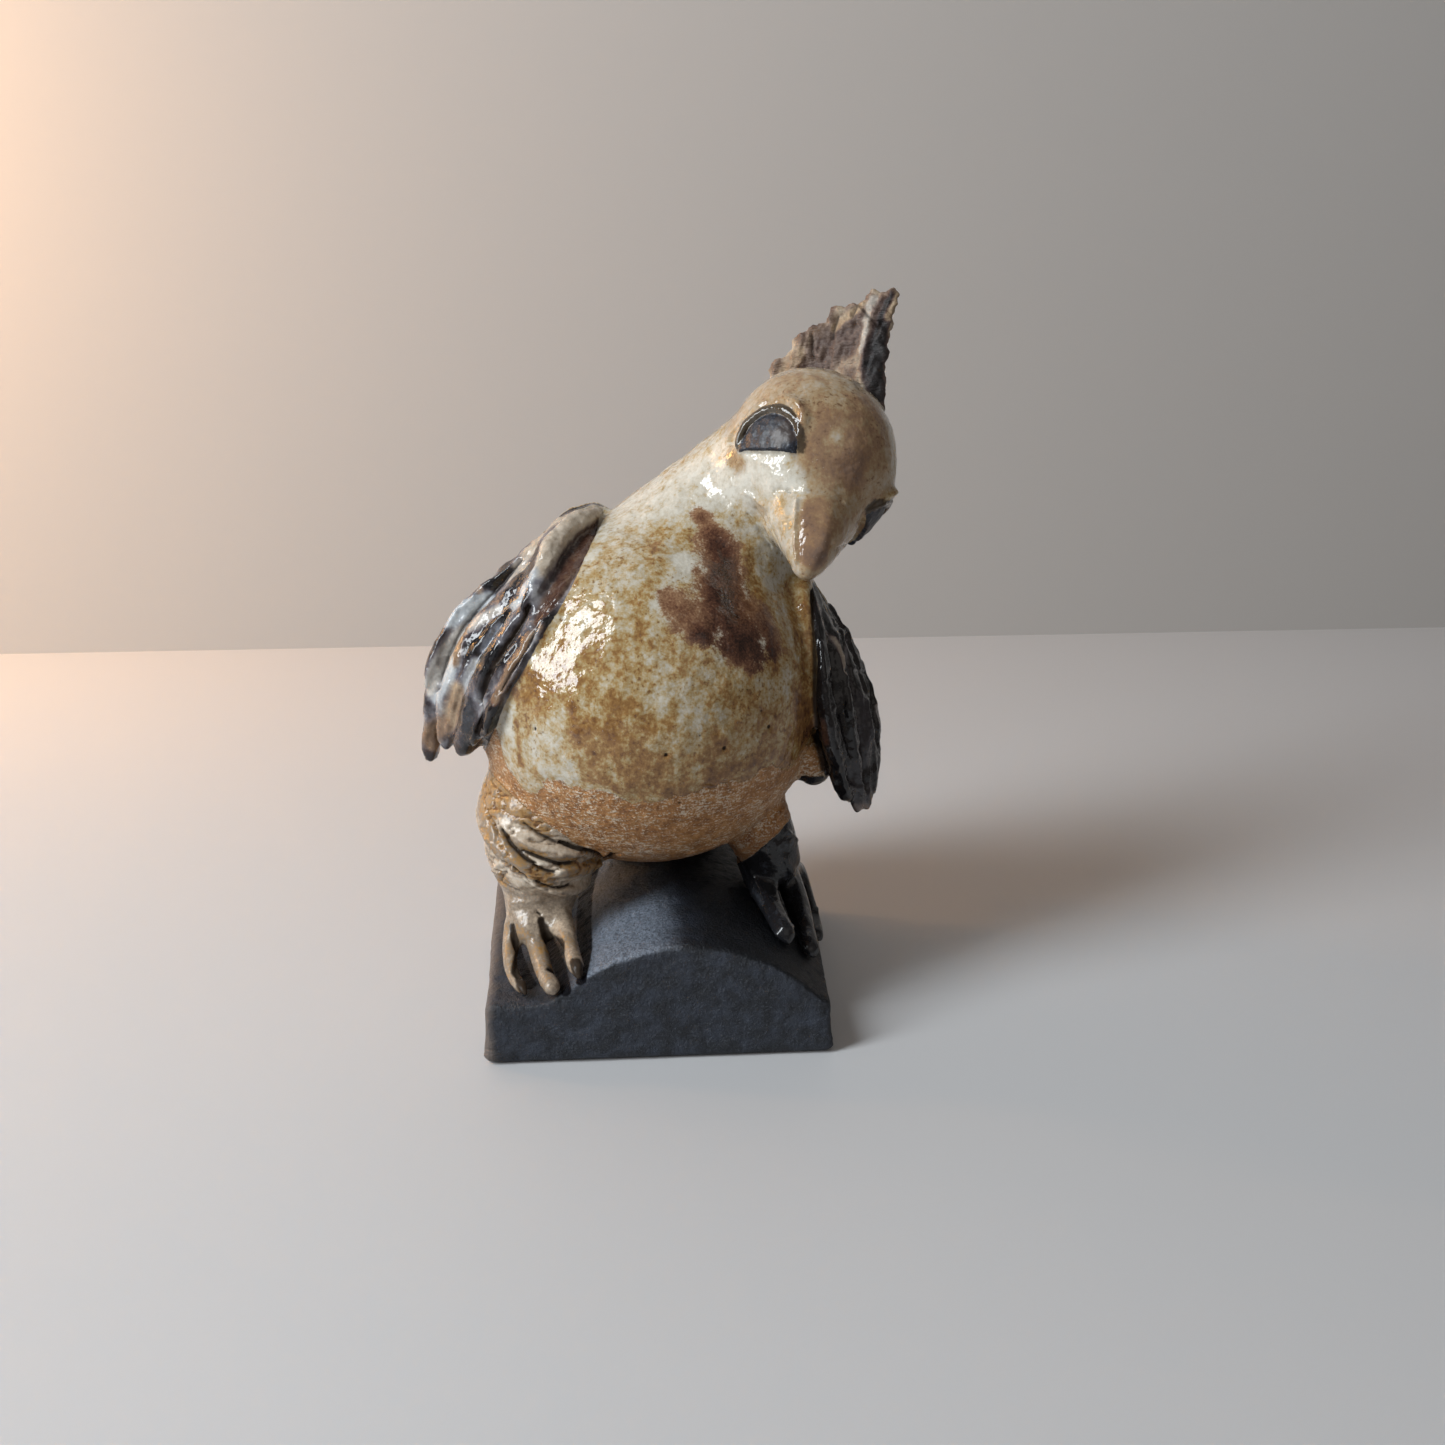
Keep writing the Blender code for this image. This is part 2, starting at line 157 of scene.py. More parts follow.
def keep_mask(piece, name, values):
    """Keep a value for each vertex, which a finish reads by its name."""
    layer = piece.data.attributes.new(name, "FLOAT", "POINT")
    layer.data.foreach_set("value", values.astype(np.float32))


def lumps(places, size, octaves, seed):
    """Smooth random values from about -1 to 1 at each place, in lumps of the given size."""
    draw = np.random.default_rng(seed)
    waves = 22
    total = np.zeros(len(places))
    for octave in range(octaves):
        ways = draw.normal(size=(3, waves)) * 1.8 * 2 ** octave / size
        total += np.sin(places @ ways + draw.uniform(0, 2 * math.pi, waves)).sum(1) / 2 ** octave
    return np.clip(total / (1.1 * waves ** 0.5), -1, 1)


def on_surface(tree, pixel):
    """The point that the photo shows at a pixel, or the nearest one beside it."""
    way = sight(pixel)
    place, _, _, _ = tree.ray_cast(CAMERA_PLACE, way)
    if place is None:
        place, _, _, _ = tree.find_nearest(CAMERA_PLACE + way * SCULPTURE_DISTANCE)
    return place


def smooth_row(points, steps):
    """A smooth curve through rows of values."""
    rows = [np.array(point, float) for point in points]
    curve = []
    for index in range(len(rows) - 1):
        before = rows[max(index - 1, 0)]
        start, end = rows[index], rows[index + 1]
        after = rows[min(index + 2, len(rows) - 1)]
        for step in range(steps):
            t = step / steps
            curve.append(start * (2 * t ** 3 - 3 * t ** 2 + 1) + end * (3 * t ** 2 - 2 * t ** 3)
                         + (end - before) / 2 * (t ** 3 - 2 * t ** 2 + t)
                         + (after - start) / 2 * (t ** 3 - t ** 2))
    curve.append(rows[-1])
    return curve


def drawn_on(tree, pixels, steps=5):
    """Photo pixels, each with a radius in millimetres, as a smooth path over a surface."""
    path = []
    for x, y, radius in smooth_row(pixels, steps):
        path.append((*on_surface(tree, (x, y)), radius * MM))
    return np.array(path)


def path_distance(places, path):
    """How far each place is from a path of points with radii, as a share of the local radius."""
    shares = np.full(len(places), 99.0)
    reach = path[:, 3].max() * 3.5
    near = np.all((places > path[:, :3].min(0) - reach) & (places < path[:, :3].max(0) + reach), axis=1)
    chosen = places[near]
    best = np.full(len(chosen), 99.0)
    for start, end in zip(path[:-1], path[1:]):
        way = end[:3] - start[:3]
        share = np.clip((chosen - start[:3]) @ way / max(way @ way, 1e-12), 0, 1)
        gap = np.linalg.norm(chosen - start[:3] - share[:, None] * way, axis=1)
        best = np.minimum(best, gap / (start[3] + (end[3] - start[3]) * share))
    shares[near] = best
    return shares


block = copy_of_node("base", "stoneware_block")
finish_with(block, "REMESH", mode="VOXEL", voxel_size=BLOCK_GRAIN)
finish_with(block, "SMOOTH", factor=0.5, iterations=BLOCK_RUBBING)
block_tree = BVHTree.FromObject(block, bpy.context.evaluated_depsgraph_get())
places = vertices_of(block)
normals = normals_of(block)
pits = np.clip(lumps(places, 2.6 * MM, 3, 3), 0, 1) * BLOCK_PITTING
waves = (0.5 + 0.5 * lumps(places, 24 * MM, 2, 9)) * BLOCK_WAVE
sunk = pits + waves
for pixel, radius in CHIPS:
    gap = np.linalg.norm(places - np.array(on_surface(block_tree, pixel)), axis=1) / (radius * MM)
    sunk += 0.6 * radius * MM * np.clip(1 - gap, 0, 1) * (0.7 + 0.3 * lumps(places, 1.2 * MM, 2, 5))
block_low, block_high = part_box("base")
places = places - normals * sunk[:, None]
near_foot = places[:, 2] < 0.9 * MM
places[near_foot, 2] = np.where(normals[near_foot, 2] < -0.7, 0.0, places[near_foot, 2])

# The block is wider behind, so its sides are made parallel while its corners are rounded.
back_width = block_high[0] - block_low[0]
depth_share = (places[:, 1] - block_low[1]) / (block_high[1] - block_low[1])
flare = back_width / (FRONT_WIDTH + (back_width - FRONT_WIDTH) * depth_share)
places[:, 0] *= flare
inner_low = np.array(block_low) + FOOT_ROUND
inner_high = np.array((block_high[0] - FOOT_ROUND, block_high[1] - FOOT_ROUND, 1.0))
beyond = places - np.clip(places, inner_low, inner_high)
reach = np.maximum(np.linalg.norm(beyond, axis=1), FOOT_ROUND)
places = places - beyond * (1 - FOOT_ROUND / reach)[:, None]
places[:, 0] /= flare
places = np.clip(places, np.array(block_low), np.array(block_high))
put_vertices(block, places)
# painted shadow in the toe gaps, kept as a mask of the block
gap_shadow = np.zeros(len(places))
for pixels in TOE_GAP_SHADOWS.values():
    gap_shadow = np.maximum(gap_shadow, np.exp(-path_distance(places, drawn_on(block_tree, pixels)) ** 4))
keep_mask(block, "gap_shadow", gap_shadow)
choose_only(block)
bpy.ops.object.shade_smooth()


class Finish:
    """One ceramic finish: nodes laid one after another up to the shader."""

    UNDER_VALUE = 2
    OVER_VALUE = 3
    UNDER_COLOUR = 6
    OVER_COLOUR = 7
    MIXED_COLOUR = 2

    def __init__(self, name, roughness):
        self.material = bpy.data.materials.new(name)
        self.material.use_nodes = True
        self.tree = self.material.node_tree
        self.shader = self.tree.nodes["Principled BSDF"]
        self.shader.inputs["Roughness"].default_value = roughness
        self.place = self.tree.nodes.new("ShaderNodeTexCoord").outputs["Object"]

    def node(self, kind, inputs=(), **settings):
        made = self.tree.nodes.new(kind)
        for name, value in settings.items():
            setattr(made, name, value)
        for key, value in dict(inputs).items():
            if isinstance(value, bpy.types.NodeSocket):
                self.tree.links.new(value, made.inputs[key])
            else:
                made.inputs[key].default_value = value
        return made

    def stretched(self, scale):
        return self.node("ShaderNodeMapping", {"Vector": self.place, "Scale": scale}).outputs["Vector"]

    def cloud(self, size, detail=3.0, rough=0.55, scale=None):
        """Soft noise whose features are about size metres."""
        where = self.stretched(scale) if scale else self.place
        settings = {"Vector": where, "Scale": 1 / size, "Detail": detail, "Roughness": rough}
        return self.node("ShaderNodeTexNoise", settings).outputs["Fac"]

    def dots(self, size):
        """Distance from scattered points that lie about size metres apart."""
        settings = {"Vector": self.place, "Scale": 1 / size}
        return self.node("ShaderNodeTexVoronoi", settings).outputs["Distance"]

    def band(self, value, low, high, to_low=0.0, to_high=1.0):
        settings = {"Value": value, "From Min": low, "From Max": high, "To Min": to_low, "To Max": to_high}
        made = self.node("ShaderNodeMapRange", settings, interpolation_type="SMOOTHSTEP")
        return made.outputs["Result"]

    def sum(self, first, second, operation="ADD"):
        return self.node("ShaderNodeMath", {0: first, 1: second}, operation=operation).outputs["Value"]

    def times(self, first, second):
        return self.sum(first, second, "MULTIPLY")

    def mix(self, share, under, over):
        """Colours are given as triples or as sockets."""
        under = under if isinstance(under, bpy.types.NodeSocket) else (*under, 1.0)
        over = over if isinstance(over, bpy.types.NodeSocket) else (*over, 1.0)
        settings = {"Factor": share, self.UNDER_COLOUR: under, self.OVER_COLOUR: over}
        return self.node("ShaderNodeMix", settings, data_type="RGBA").outputs[self.MIXED_COLOUR]

    def blend(self, share, under, over):
        """The same for plain values."""
        settings = {"Factor": share, self.UNDER_VALUE: under, self.OVER_VALUE: over}
        return self.node("ShaderNodeMix", settings).outputs[0]

    def mask(self, name):
        """A mask that the piece keeps for each of its vertices."""
        return self.node("ShaderNodeAttribute", attribute_name=name).outputs["Fac"]

    def relief(self, height, depth, onto=None):
        """Bump of the given depth in metres."""
        settings = {"Height": height, "Distance": depth, "Strength": 1.0}
        if onto is not None:
            settings["Normal"] = onto
        return self.node("ShaderNodeBump", settings).outputs["Normal"]

    def connect(self, colour, roughness, shine, normal):
        self.tree.links.new(colour, self.shader.inputs["Base Color"])
        self.tree.links.new(shine, self.shader.inputs["Specular IOR Level"])
        self.tree.links.new(roughness, self.shader.inputs["Roughness"])
        self.tree.links.new(normal, self.shader.inputs["Normal"])


def place_along(finish, axis):
    return finish.node("ShaderNodeSeparateXYZ", {"Vector": finish.place}).outputs[axis]


black = Finish("black_stoneware", 0.6)
mottle = black.cloud(6 * MM, 5.0, 0.6)
grit = black.cloud(0.7 * MM, 4.0, 0.7)
glint_dots = black.band(black.dots(0.6 * MM), 0.20, 0.10)
surface = black.node("ShaderNodeNewGeometry").outputs["Normal"]
facing_up = black.node("ShaderNodeSeparateXYZ", {"Vector": surface}).outputs["Z"]
upper = black.band(facing_up, 0.25, 0.75)
place_x = place_along(black, "X")
# painted light: the block's left side lightened to a warm brown-grey, where the warm light falls on it
lit_left_strip = black.band(black.sum(place_x, black.times(mottle, 4 * MM)), -40 * MM, -43.5 * MM)
colour = black.mix(black.band(mottle, 0.35, 0.7), BLACK_CLAY, BLACK_CLAY_WORN)
colour = black.mix(black.times(black.band(grit, 0.52, 0.70), 0.7), colour, GRIT_GREY)
# painted sheen: a grainy bluish reflection painted on the upward-facing top left of the block
painted_sheen = black.times(black.band(place_x, 8 * MM, -3 * MM), black.band(place_x, -24 * MM, -19 * MM))
painted_sheen = black.times(painted_sheen, upper)
# painted shade: the upward-facing top of the block darkened to near black towards its right
painted_shade = black.times(upper, black.band(place_x, 2 * MM, 14 * MM, 0.0, 0.9))
colour = black.mix(painted_shade, colour, PAINTED_SHADE_BLACK)
colour = black.mix(black.times(painted_sheen, black.band(grit, 0.35, 0.6, 0.25, 1.0)), colour, PAINTED_SHEEN_BLUE)
colour = black.mix(black.times(lit_left_strip, 0.75), colour, PAINTED_WARM_LIGHT)
# painted glints: bright specks laid only within the painted sheen on the top left
colour = black.mix(black.times(glint_dots, painted_sheen), colour, PAINTED_GLINT)
gloss = black.blend(upper, 0.62, 0.46)
gloss = black.sum(gloss, black.band(grit, 0.3, 0.8, -0.08, 0.10))
# painted shadow: the block turned near black in the toe gaps
gap_shadow = black.band(black.mask("gap_shadow"), 0.3, 0.6)
colour = black.mix(gap_shadow, colour, PAINTED_GAP_SHADOW)
gloss = black.blend(gap_shadow, gloss, 0.30)
shine = black.blend(gap_shadow, black.blend(painted_shade, 0.5, 0.2), 0.06)
ground = black.relief(black.cloud(1.8 * MM, 5.0, 0.65), 0.8 * MM)
ground = black.relief(grit, 0.35 * MM, ground)
black.connect(colour, gloss, shine, ground)
block.data.materials.append(black.material)

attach(block, "root")
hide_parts("base")


# The bird's clay: one hollow form built up from coils, thumbed smooth and pressed onto the block
# while wet. The skin starts as the solid's own form with its facets rubbed out.
CLAY_GRAIN = 0.5 * MM
RUBBING = 5
BIRD_FACES = 192000

bird = copy_of_node("bird", "glazed_bird")
finish_with(bird, "SUBSURF", levels=2, render_levels=2)
bird_tree = BVHTree.FromObject(bird, bpy.context.evaluated_depsgraph_get())


def drawn(pixels, steps=5):
    """A smooth path over the bird's skin."""
    return drawn_on(bird_tree, pixels, steps)


def join_to(piece, addition):
    bpy.ops.object.select_all(action="DESELECT")
    addition.select_set(True)
    piece.select_set(True)
    bpy.context.view_layer.objects.active = piece
    bpy.ops.object.join()


def press_on(piece, points):
    """Press a coil of clay, given as points with radii, into the piece."""
    curve = bpy.data.curves.new("coil", "CURVE")
    curve.dimensions = "3D"
    curve.bevel_depth = 1.0
    curve.bevel_resolution = 3
    curve.use_fill_caps = True
    line = curve.splines.new("POLY")
    line.points.add(len(points) - 1)
    for spot, (x, y, z, radius) in zip(line.points, points):
        spot.co = (x, y, z, 1.0)
        spot.radius = radius
    coil = bpy.data.objects.new("coil", curve)
    bpy.context.scene.collection.objects.link(coil)
    choose_only(coil)
    bpy.ops.object.convert(target="MESH")
    join_to(piece, bpy.context.view_layer.objects.active)


# The eyes: a low bell-shaped dome of clay on each side of the head, flat below, under a thick
# hood. The photo shows the bird's right eye from the front and its left eye edge on.
HEAD = Vector((43.3, 7.0, 149.85)) * MM
HEAD_RADIUS = 22.2 * MM
BEAK_WAY = Vector((-0.118, -0.853, -0.508)).normalized()
SIDE_WAY = Vector((0.747, 0.163, -0.644)).normalized()
CROWN_WAY = BEAK_WAY.cross(SIDE_WAY).normalized()
EYE_PLACE = Vector((10.8, 18.4, 4.2)) * MM
EYE_TURN = math.radians(26.8)
EYE_PRESS = 10.4 * MM
EYE_FOOT = 4.15 * MM
EYE_WIDTH = 8.3 * MM
EYE_HEIGHT = 9.0 * MM
EYE_CUT = 1.5 * MM
EYE_RISE = 2.2 * MM
HOOD_START = -12
HOOD_SWEEP = 178
HOOD_STEPS = 30
HOOD_REACH = 1.1


def rise(values, low, high):
    """0 at low and 1 at high, smooth between them, whichever is the greater."""
    share = np.clip((values - low) / (high - low), 0, 1)
    return share * share * (3 - 2 * share)


def eye_frame(side):
    """Middle of one eye, and its ways down, sideways and out of the head."""
    middle = HEAD + BEAK_WAY * EYE_PLACE.x + SIDE_WAY * side * EYE_PLACE.y + CROWN_WAY * EYE_PLACE.z
    outward = (middle - HEAD).normalized()
    along = (BEAK_WAY - outward * BEAK_WAY.dot(outward)).normalized()
    across = outward.cross(along)
    turn = side * EYE_TURN
    down = along * math.cos(turn) + across * math.sin(turn)
    return middle, down, across * math.cos(turn) - along * math.sin(turn), outward


def eye_shares(places, middle, down, sideways, outward):
    """Distance from the eye's foot as a share of its size, and height above its foot."""
    offset = places - np.array(middle + down * EYE_FOOT)
    height = -offset @ np.array(down)
    share = np.hypot(offset @ np.array(sideways) / EYE_WIDTH, np.clip(height, 0, 1) / EYE_HEIGHT)
    return np.where(offset @ np.array(outward) > -5 * MM, share, 99.0), height


eyes = [eye_frame(-1), eye_frame(1)]
places = vertices_of(bird)
for middle, down, sideways, outward in eyes:
    offset = places - np.array(middle)
    height = offset @ np.array(outward)
    spread = np.linalg.norm(offset - np.outer(height, np.array(outward)), axis=1) / EYE_PRESS
    weight = np.where(height > -4 * MM, np.clip(4 * (1 - spread), 0, 1), 0)
    places = places + np.outer((np.minimum(height, -0.5 * MM) - height) * weight, np.array(outward))
put_vertices(bird, places)
bird_tree = BVHTree.FromObject(bird, bpy.context.evaluated_depsgraph_get())
for middle, down, sideways, outward in eyes:
    hood = []
    for step in range(HOOD_STEPS + 1):
        angle = math.radians(HOOD_START + HOOD_SWEEP * step / HOOD_STEPS)
        swell = math.sin(math.pi * step / HOOD_STEPS) ** 0.6
        rim = middle + down * EYE_FOOT - sideways * math.cos(angle) * HOOD_REACH * EYE_WIDTH
        rim = rim - down * math.sin(angle) * HOOD_REACH * EYE_HEIGHT
        skin, _, _, _ = bird_tree.find_nearest(rim)
        hood.append((*(skin + outward * 0.6 * swell * MM), (0.3 + 0.6 * swell) * MM))
    press_on(bird, hood)


# Coils rolled and pressed on by hand: feather ribs on both wings, placed where the photo shows
# each one, and the lip of the left wing that rolls back from the shoulder.
FEATHER_RIBS = {
    "shoulder_lip": ((597, 514, 2.2), (579, 522, 3.0), (563, 536, 3.2), (551, 552, 3.2), (542, 572, 2.8),
                     (533, 592, 2.2), (522, 612, 1.0)),
    "left_outer": ((512, 566, 0.9), (487, 586, 1.3), (462, 610, 1.5), (443, 638, 1.6), (432, 664, 1.4),
                   (427, 688, 1.0)),
    "left_middle": ((520, 600, 0.9), (500, 622, 1.5), (481, 644, 1.7), (466, 672, 1.6), (456, 700, 1.5),
                    (449, 736, 1.2)),
    "left_inner": ((533, 622, 0.8), (516, 645, 1.2), (500, 668, 1.3), (487, 694, 1.1), (478, 722, 1.0),
                   (472, 745, 1.0)),
    "right_first": ((821, 640, 0.7), (822, 670, 1.1), (826, 700, 1.2), (832, 735, 1.2), (841, 770, 1.2),
                    (850, 800, 1.0)),
    "right_second": ((832, 618, 0.8), (839, 650, 1.2), (845, 685, 1.3), (850, 720, 1.2), (856, 760, 1.1),
                     (861, 795, 1.0)),
    "right_third": ((845, 628, 0.8), (856, 660, 1.1), (865, 695, 1.2), (871, 735, 1.1), (874, 775, 1.1),
                    (874, 800, 0.8)),
    "right_rim": ((828, 604, 0.7), (846, 630, 0.8), (860, 650, 0.9), (872, 678, 0.8)),
}
for ribs in FEATHER_RIBS.values():
    press_on(bird, drawn(ribs))

finish_with(bird, "REMESH", mode="VOXEL", voxel_size=CLAY_GRAIN)
finish_with(bird, "SMOOTH", factor=0.5, iterations=RUBBING)


# The modelling marks: creases cut with a tool and folds drawn up with the fingers, in the loose
# stocking of the left leg, round the throat and the beak, and between the feathers.
CREASES = {
    "beak_seam": (0.5, ((776, 491, 0.45), (790, 490, 0.5), (812, 492, 0.5), (830, 495, 0.5),
                        (842, 502, 0.45))),
    "nostril": (0.8, ((787, 491, 0.5), (790, 492, 0.5))),
    "throat_1": (0.6, ((756, 508, 0.4), (765, 522, 0.5), (773, 538, 0.5), (779, 552, 0.45))),
    "throat_2": (0.5, ((748, 514, 0.4), (760, 530, 0.5), (770, 546, 0.45))),
    "throat_3": (0.5, ((766, 516, 0.4), (773, 530, 0.5), (781, 548, 0.45))),
    "jaw_groove": (0.6, ((836, 549, 0.45), (844, 545, 0.5), (852, 539, 0.45))),
    "eye_corner": (0.6, ((734, 444, 0.45), (731, 438, 0.5), (738, 428, 0.5), (746, 418, 0.45))),
    "leg_1": (1.5, ((501, 829, 0.5), (508, 841, 0.75), (518, 852, 0.75), (527, 860, 0.8), (535, 863, 0.6))),
    "leg_2": (1.2, ((521, 850, 0.4), (533, 855, 0.55), (546, 860, 0.55), (560, 864, 0.55),
                    (573, 863, 0.5), (585, 857, 0.4))),
    "leg_3": (1.5, ((491, 852, 0.5), (502, 863, 0.8), (512, 869, 0.8), (522, 878, 0.75), (530, 884, 0.5))),
    "leg_4": (1.3, ((533, 866, 0.5), (543, 871, 0.7), (554, 873, 0.6))),
    "leg_5": (1.1, ((536, 882, 0.45), (548, 887, 0.55), (560, 888, 0.55), (571, 884, 0.45))),
    "leg_6": (1.0, ((523, 823, 0.45), (536, 832, 0.5), (549, 839, 0.75), (556, 842, 0.6))),
    "leg_7": (1.3, ((560, 842, 0.5), (575, 847, 0.7), (592, 853, 0.75), (606, 858, 0.9), (616, 861, 0.7))),
    "leg_8": (0.9, ((484, 868, 0.4), (494, 878, 0.6), (508, 887, 0.6), (520, 892, 0.5))),
    "leg_9": (0.8, ((486, 812, 0.5), (494, 826, 0.6), (497, 840, 0.5))),
    "ankle_pit": (1.0, ((537, 912, 0.6), (540, 914, 0.6))),
    "feather_1": (1.0, ((521, 560, 0.6), (500, 584, 0.8), (478, 608, 0.8), (460, 632, 0.8),
                        (446, 660, 0.8), (438, 690, 0.7))),
    "feather_2": (1.5, ((530, 606, 0.6), (514, 632, 0.9), (498, 656, 1.0), (484, 684, 1.1),
                        (478, 712, 1.1), (475, 735, 0.9))),
    "feather_3": (1.2, ((540, 620, 0.6), (527, 645, 0.8), (513, 668, 0.9), (500, 690, 0.8))),
    "lip_joint": (0.7, ((603, 512, 0.5), (592, 538, 0.7), (577, 566, 0.7), (563, 592, 0.7),
                        (545, 615, 0.6))),
    "feather_4": (0.9, ((829, 640, 0.5), (832, 672, 0.6), (837, 706, 0.7), (843, 740, 0.7),
                        (851, 780, 0.6))),
    "feather_5": (0.9, ((838, 622, 0.5), (849, 662, 0.6), (855, 700, 0.7), (861, 742, 0.7),
                        (867, 790, 0.7))),
    "feather_6": (0.7, ((856, 642, 0.5), (867, 672, 0.6), (873, 702, 0.6), (877, 735, 0.6),
                        (880, 752, 0.7))),
    "toe_gap_1": (0.9, ((512, 924, 0.6), (516, 945, 0.9), (521, 968, 0.9))),
    "toe_gap_2": (1.0, ((543, 920, 0.8), (549, 945, 1.0), (557, 972, 1.0))),
    "wing_gap": (1.1, ((812, 590, 0.7), (814, 625, 0.9), (815, 665, 0.9), (815, 705, 0.9),
                       (818, 742, 1.1), (824, 772, 1.2))),
    "crest_cleft_1": (0.9, ((862, 296, 0.6), (856, 306, 0.7), (852, 318, 0.5))),
    "crest_cleft_2": (0.9, ((838, 316, 0.6), (834, 326, 0.7), (832, 338, 0.5))),
    "crest_cleft_3": (0.9, ((812, 336, 0.6), (812, 346, 0.7), (814, 358, 0.5))),
}
CLAWS = {
    "claw_1": ((520, 976, 1.6), (524, 986, 2.2), (527, 993, 2.2)),
    "claw_3": ((575, 962, 1.6), (580, 972, 2.2), (583, 980, 2.4)),
}
FOLDS = {
    "toe_1": (0.35, ((506, 925, 1.6), (509, 950, 1.8), (516, 975, 1.8))),
    "toe_2": (0.75, ((528, 925, 2.0), (536, 950, 2.6), (546, 975, 2.8), (551, 988, 2.2))),
    "toe_3": (0.45, ((562, 925, 2.0), (570, 945, 2.2), (578, 965, 2.0))),
    "jaw_fold": (0.6, ((746, 492, 0.5), (756, 498, 0.7), (768, 508, 0.6))),
    "nostril_bead": (0.5, ((803, 490, 0.6), (805, 490, 0.6))),
    "beak_ridge": (0.8, ((797, 500, 0.4), (796, 520, 0.5), (796, 545, 0.5), (798, 562, 0.45))),
    "leg_fold_1": (0.7, ((484, 838, 0.7), (496, 846, 0.9), (512, 858, 0.9), (528, 870, 0.9),
                         (545, 879, 0.7))),
    "leg_fold_2": (0.7, ((500, 822, 0.7), (520, 840, 0.9), (540, 851, 0.9), (562, 857, 0.7))),
    "leg_fold_3": (0.8, ((560, 872, 0.7), (580, 868, 1.0), (600, 864, 0.9), (611, 866, 0.6))),
    "leg_fold_4": (0.6, ((488, 868, 0.6), (504, 876, 0.8), (520, 886, 0.7))),
    "knuckles": (0.7, ((512, 903, 1.2), (524, 902, 1.2), (538, 900, 0.9))),
    "leg_skin_lip": (0.7, ((690, 860, 0.6), (715, 862, 0.8), (742, 850, 0.9), (765, 832, 0.8),
                           (784, 808, 0.6))),
    "right_rim": (0.5, ((797, 840, 0.5), (808, 864, 0.6), (816, 886, 0.6), (817, 912, 0.5))),
    "right_toe_a": (0.6, ((752, 872, 0.7), (764, 892, 1.0), (775, 908, 1.0), (784, 928, 0.8))),
    "right_toe_b": (0.6, ((786, 858, 0.7), (793, 875, 1.0), (801, 900, 1.0), (807, 922, 0.8))),
    "belly_ridge": (0.25, ((594, 812, 1.2), (640, 819, 1.6), (694, 816, 1.2))),
    "crest_edge": (0.7, ((862, 388, 0.7), (865, 350, 0.9), (872, 320, 0.9), (882, 298, 0.8))),
    "crest_vein": (0.35, ((864, 350, 0.6), (868, 325, 0.7), (874, 302, 0.6))),
}
PINHOLES = ((769, 727, 0.85), (761, 711, 0.5), (724, 748, 0.75), (666, 755, 0.7), (535, 729, 0.6),
            (680, 803, 0.5), (549, 602, 0.5), (640, 770, 0.4), (700, 735, 0.4), (747, 690, 0.4))
SHALLOW = 0.25

bird_tree = BVHTree.FromObject(bird, bpy.context.evaluated_depsgraph_get())
places = vertices_of(bird)
normals = normals_of(bird)
relief = np.zeros(len(places))
shade_and_claws = np.zeros(len(places))
for depth, pixels in FOLDS.values():
    relief += depth * MM * np.exp(-path_distance(places, drawn(pixels)) ** 2)
# painted shade: each crease deeper than SHALLOW is also darkened in colour by its depth
for depth, pixels in CREASES.values():
    groove = np.exp(-path_distance(places, drawn(pixels)) ** 2)
    relief -= depth * MM * groove
    shade_and_claws = np.maximum(shade_and_claws, groove * min(max(depth - SHALLOW, 0.0), 1.0))
# the claws are dark in their own colour; the gaps between the toes get painted shadow
for pixels in (*CLAWS.values(), TOE_GAP_SHADOWS["left_gap"], TOE_GAP_SHADOWS["right_gap"]):
    shade_and_claws = np.maximum(shade_and_claws, np.exp(-path_distance(places, drawn(pixels)) ** 4))
for x, y, radius in PINHOLES:
    gap = np.linalg.norm(places - np.array(on_surface(bird_tree, (x, y))), axis=1) / (radius * MM)
    relief -= 0.7 * radius * MM * np.exp(-gap ** 4)
    shade_and_claws = np.maximum(shade_and_claws, np.exp(-(gap / 0.8) ** 4))


# Where each surface lies: wings by their outlines in front and by how far they stand off the round
# of the body behind, crest and legs by the same, the bare belly below the edge of the glaze. Each
# has a relief of its own: thick runny glaze, toothed clay, ragged crest, wrinkled legs.
BODY = np.array([
    (-1, 7.2, 86.2, 47.5), (6, 12, 101, 41.4), (14, 16, 114, 33.6), (21.5, 18, 126, 26.4),
    (29.5, 17, 136, 22.0), (37, 12, 144, 21.0), (43.3, 7.0, 149.85, 22.0),
]) * MM
GLAZE_EDGE = ((497, 729, 1), (504, 757, 1), (516, 776, 1), (528, 788, 1), (542, 783, 1),
              (570, 781, 1), (600, 787, 1), (640, 795, 1), (680, 800, 1), (720, 792, 1),
              (760, 778, 1), (790, 765, 1), (806, 750, 1))


def stand_off(places, path):
    """Distance outside a tapering round form, in metres."""
    nearest = np.full(len(places), 99.0)
    for start, end in zip(path[:-1], path[1:]):
        way = end[:3] - start[:3]
        share = np.clip((places - start[:3]) @ way / (way @ way), 0, 1)
        gap = np.linalg.norm(places - start[:3] - share[:, None] * way, axis=1)
        nearest = np.minimum(nearest, gap - (start[3] + (end[3] - start[3]) * share))
    return nearest


def on_photo(places):
    """The photo's pixel coordinates of each place."""
    turned = (places - np.array(CAMERA_PLACE)) @ np.array(camera.matrix_world.to_3x3())
    spots = turned[:, :2] / -turned[:, 2:] * FOCAL_PIXELS
    return PHOTO_SIDE / 2 + spots * np.array((1, -1))


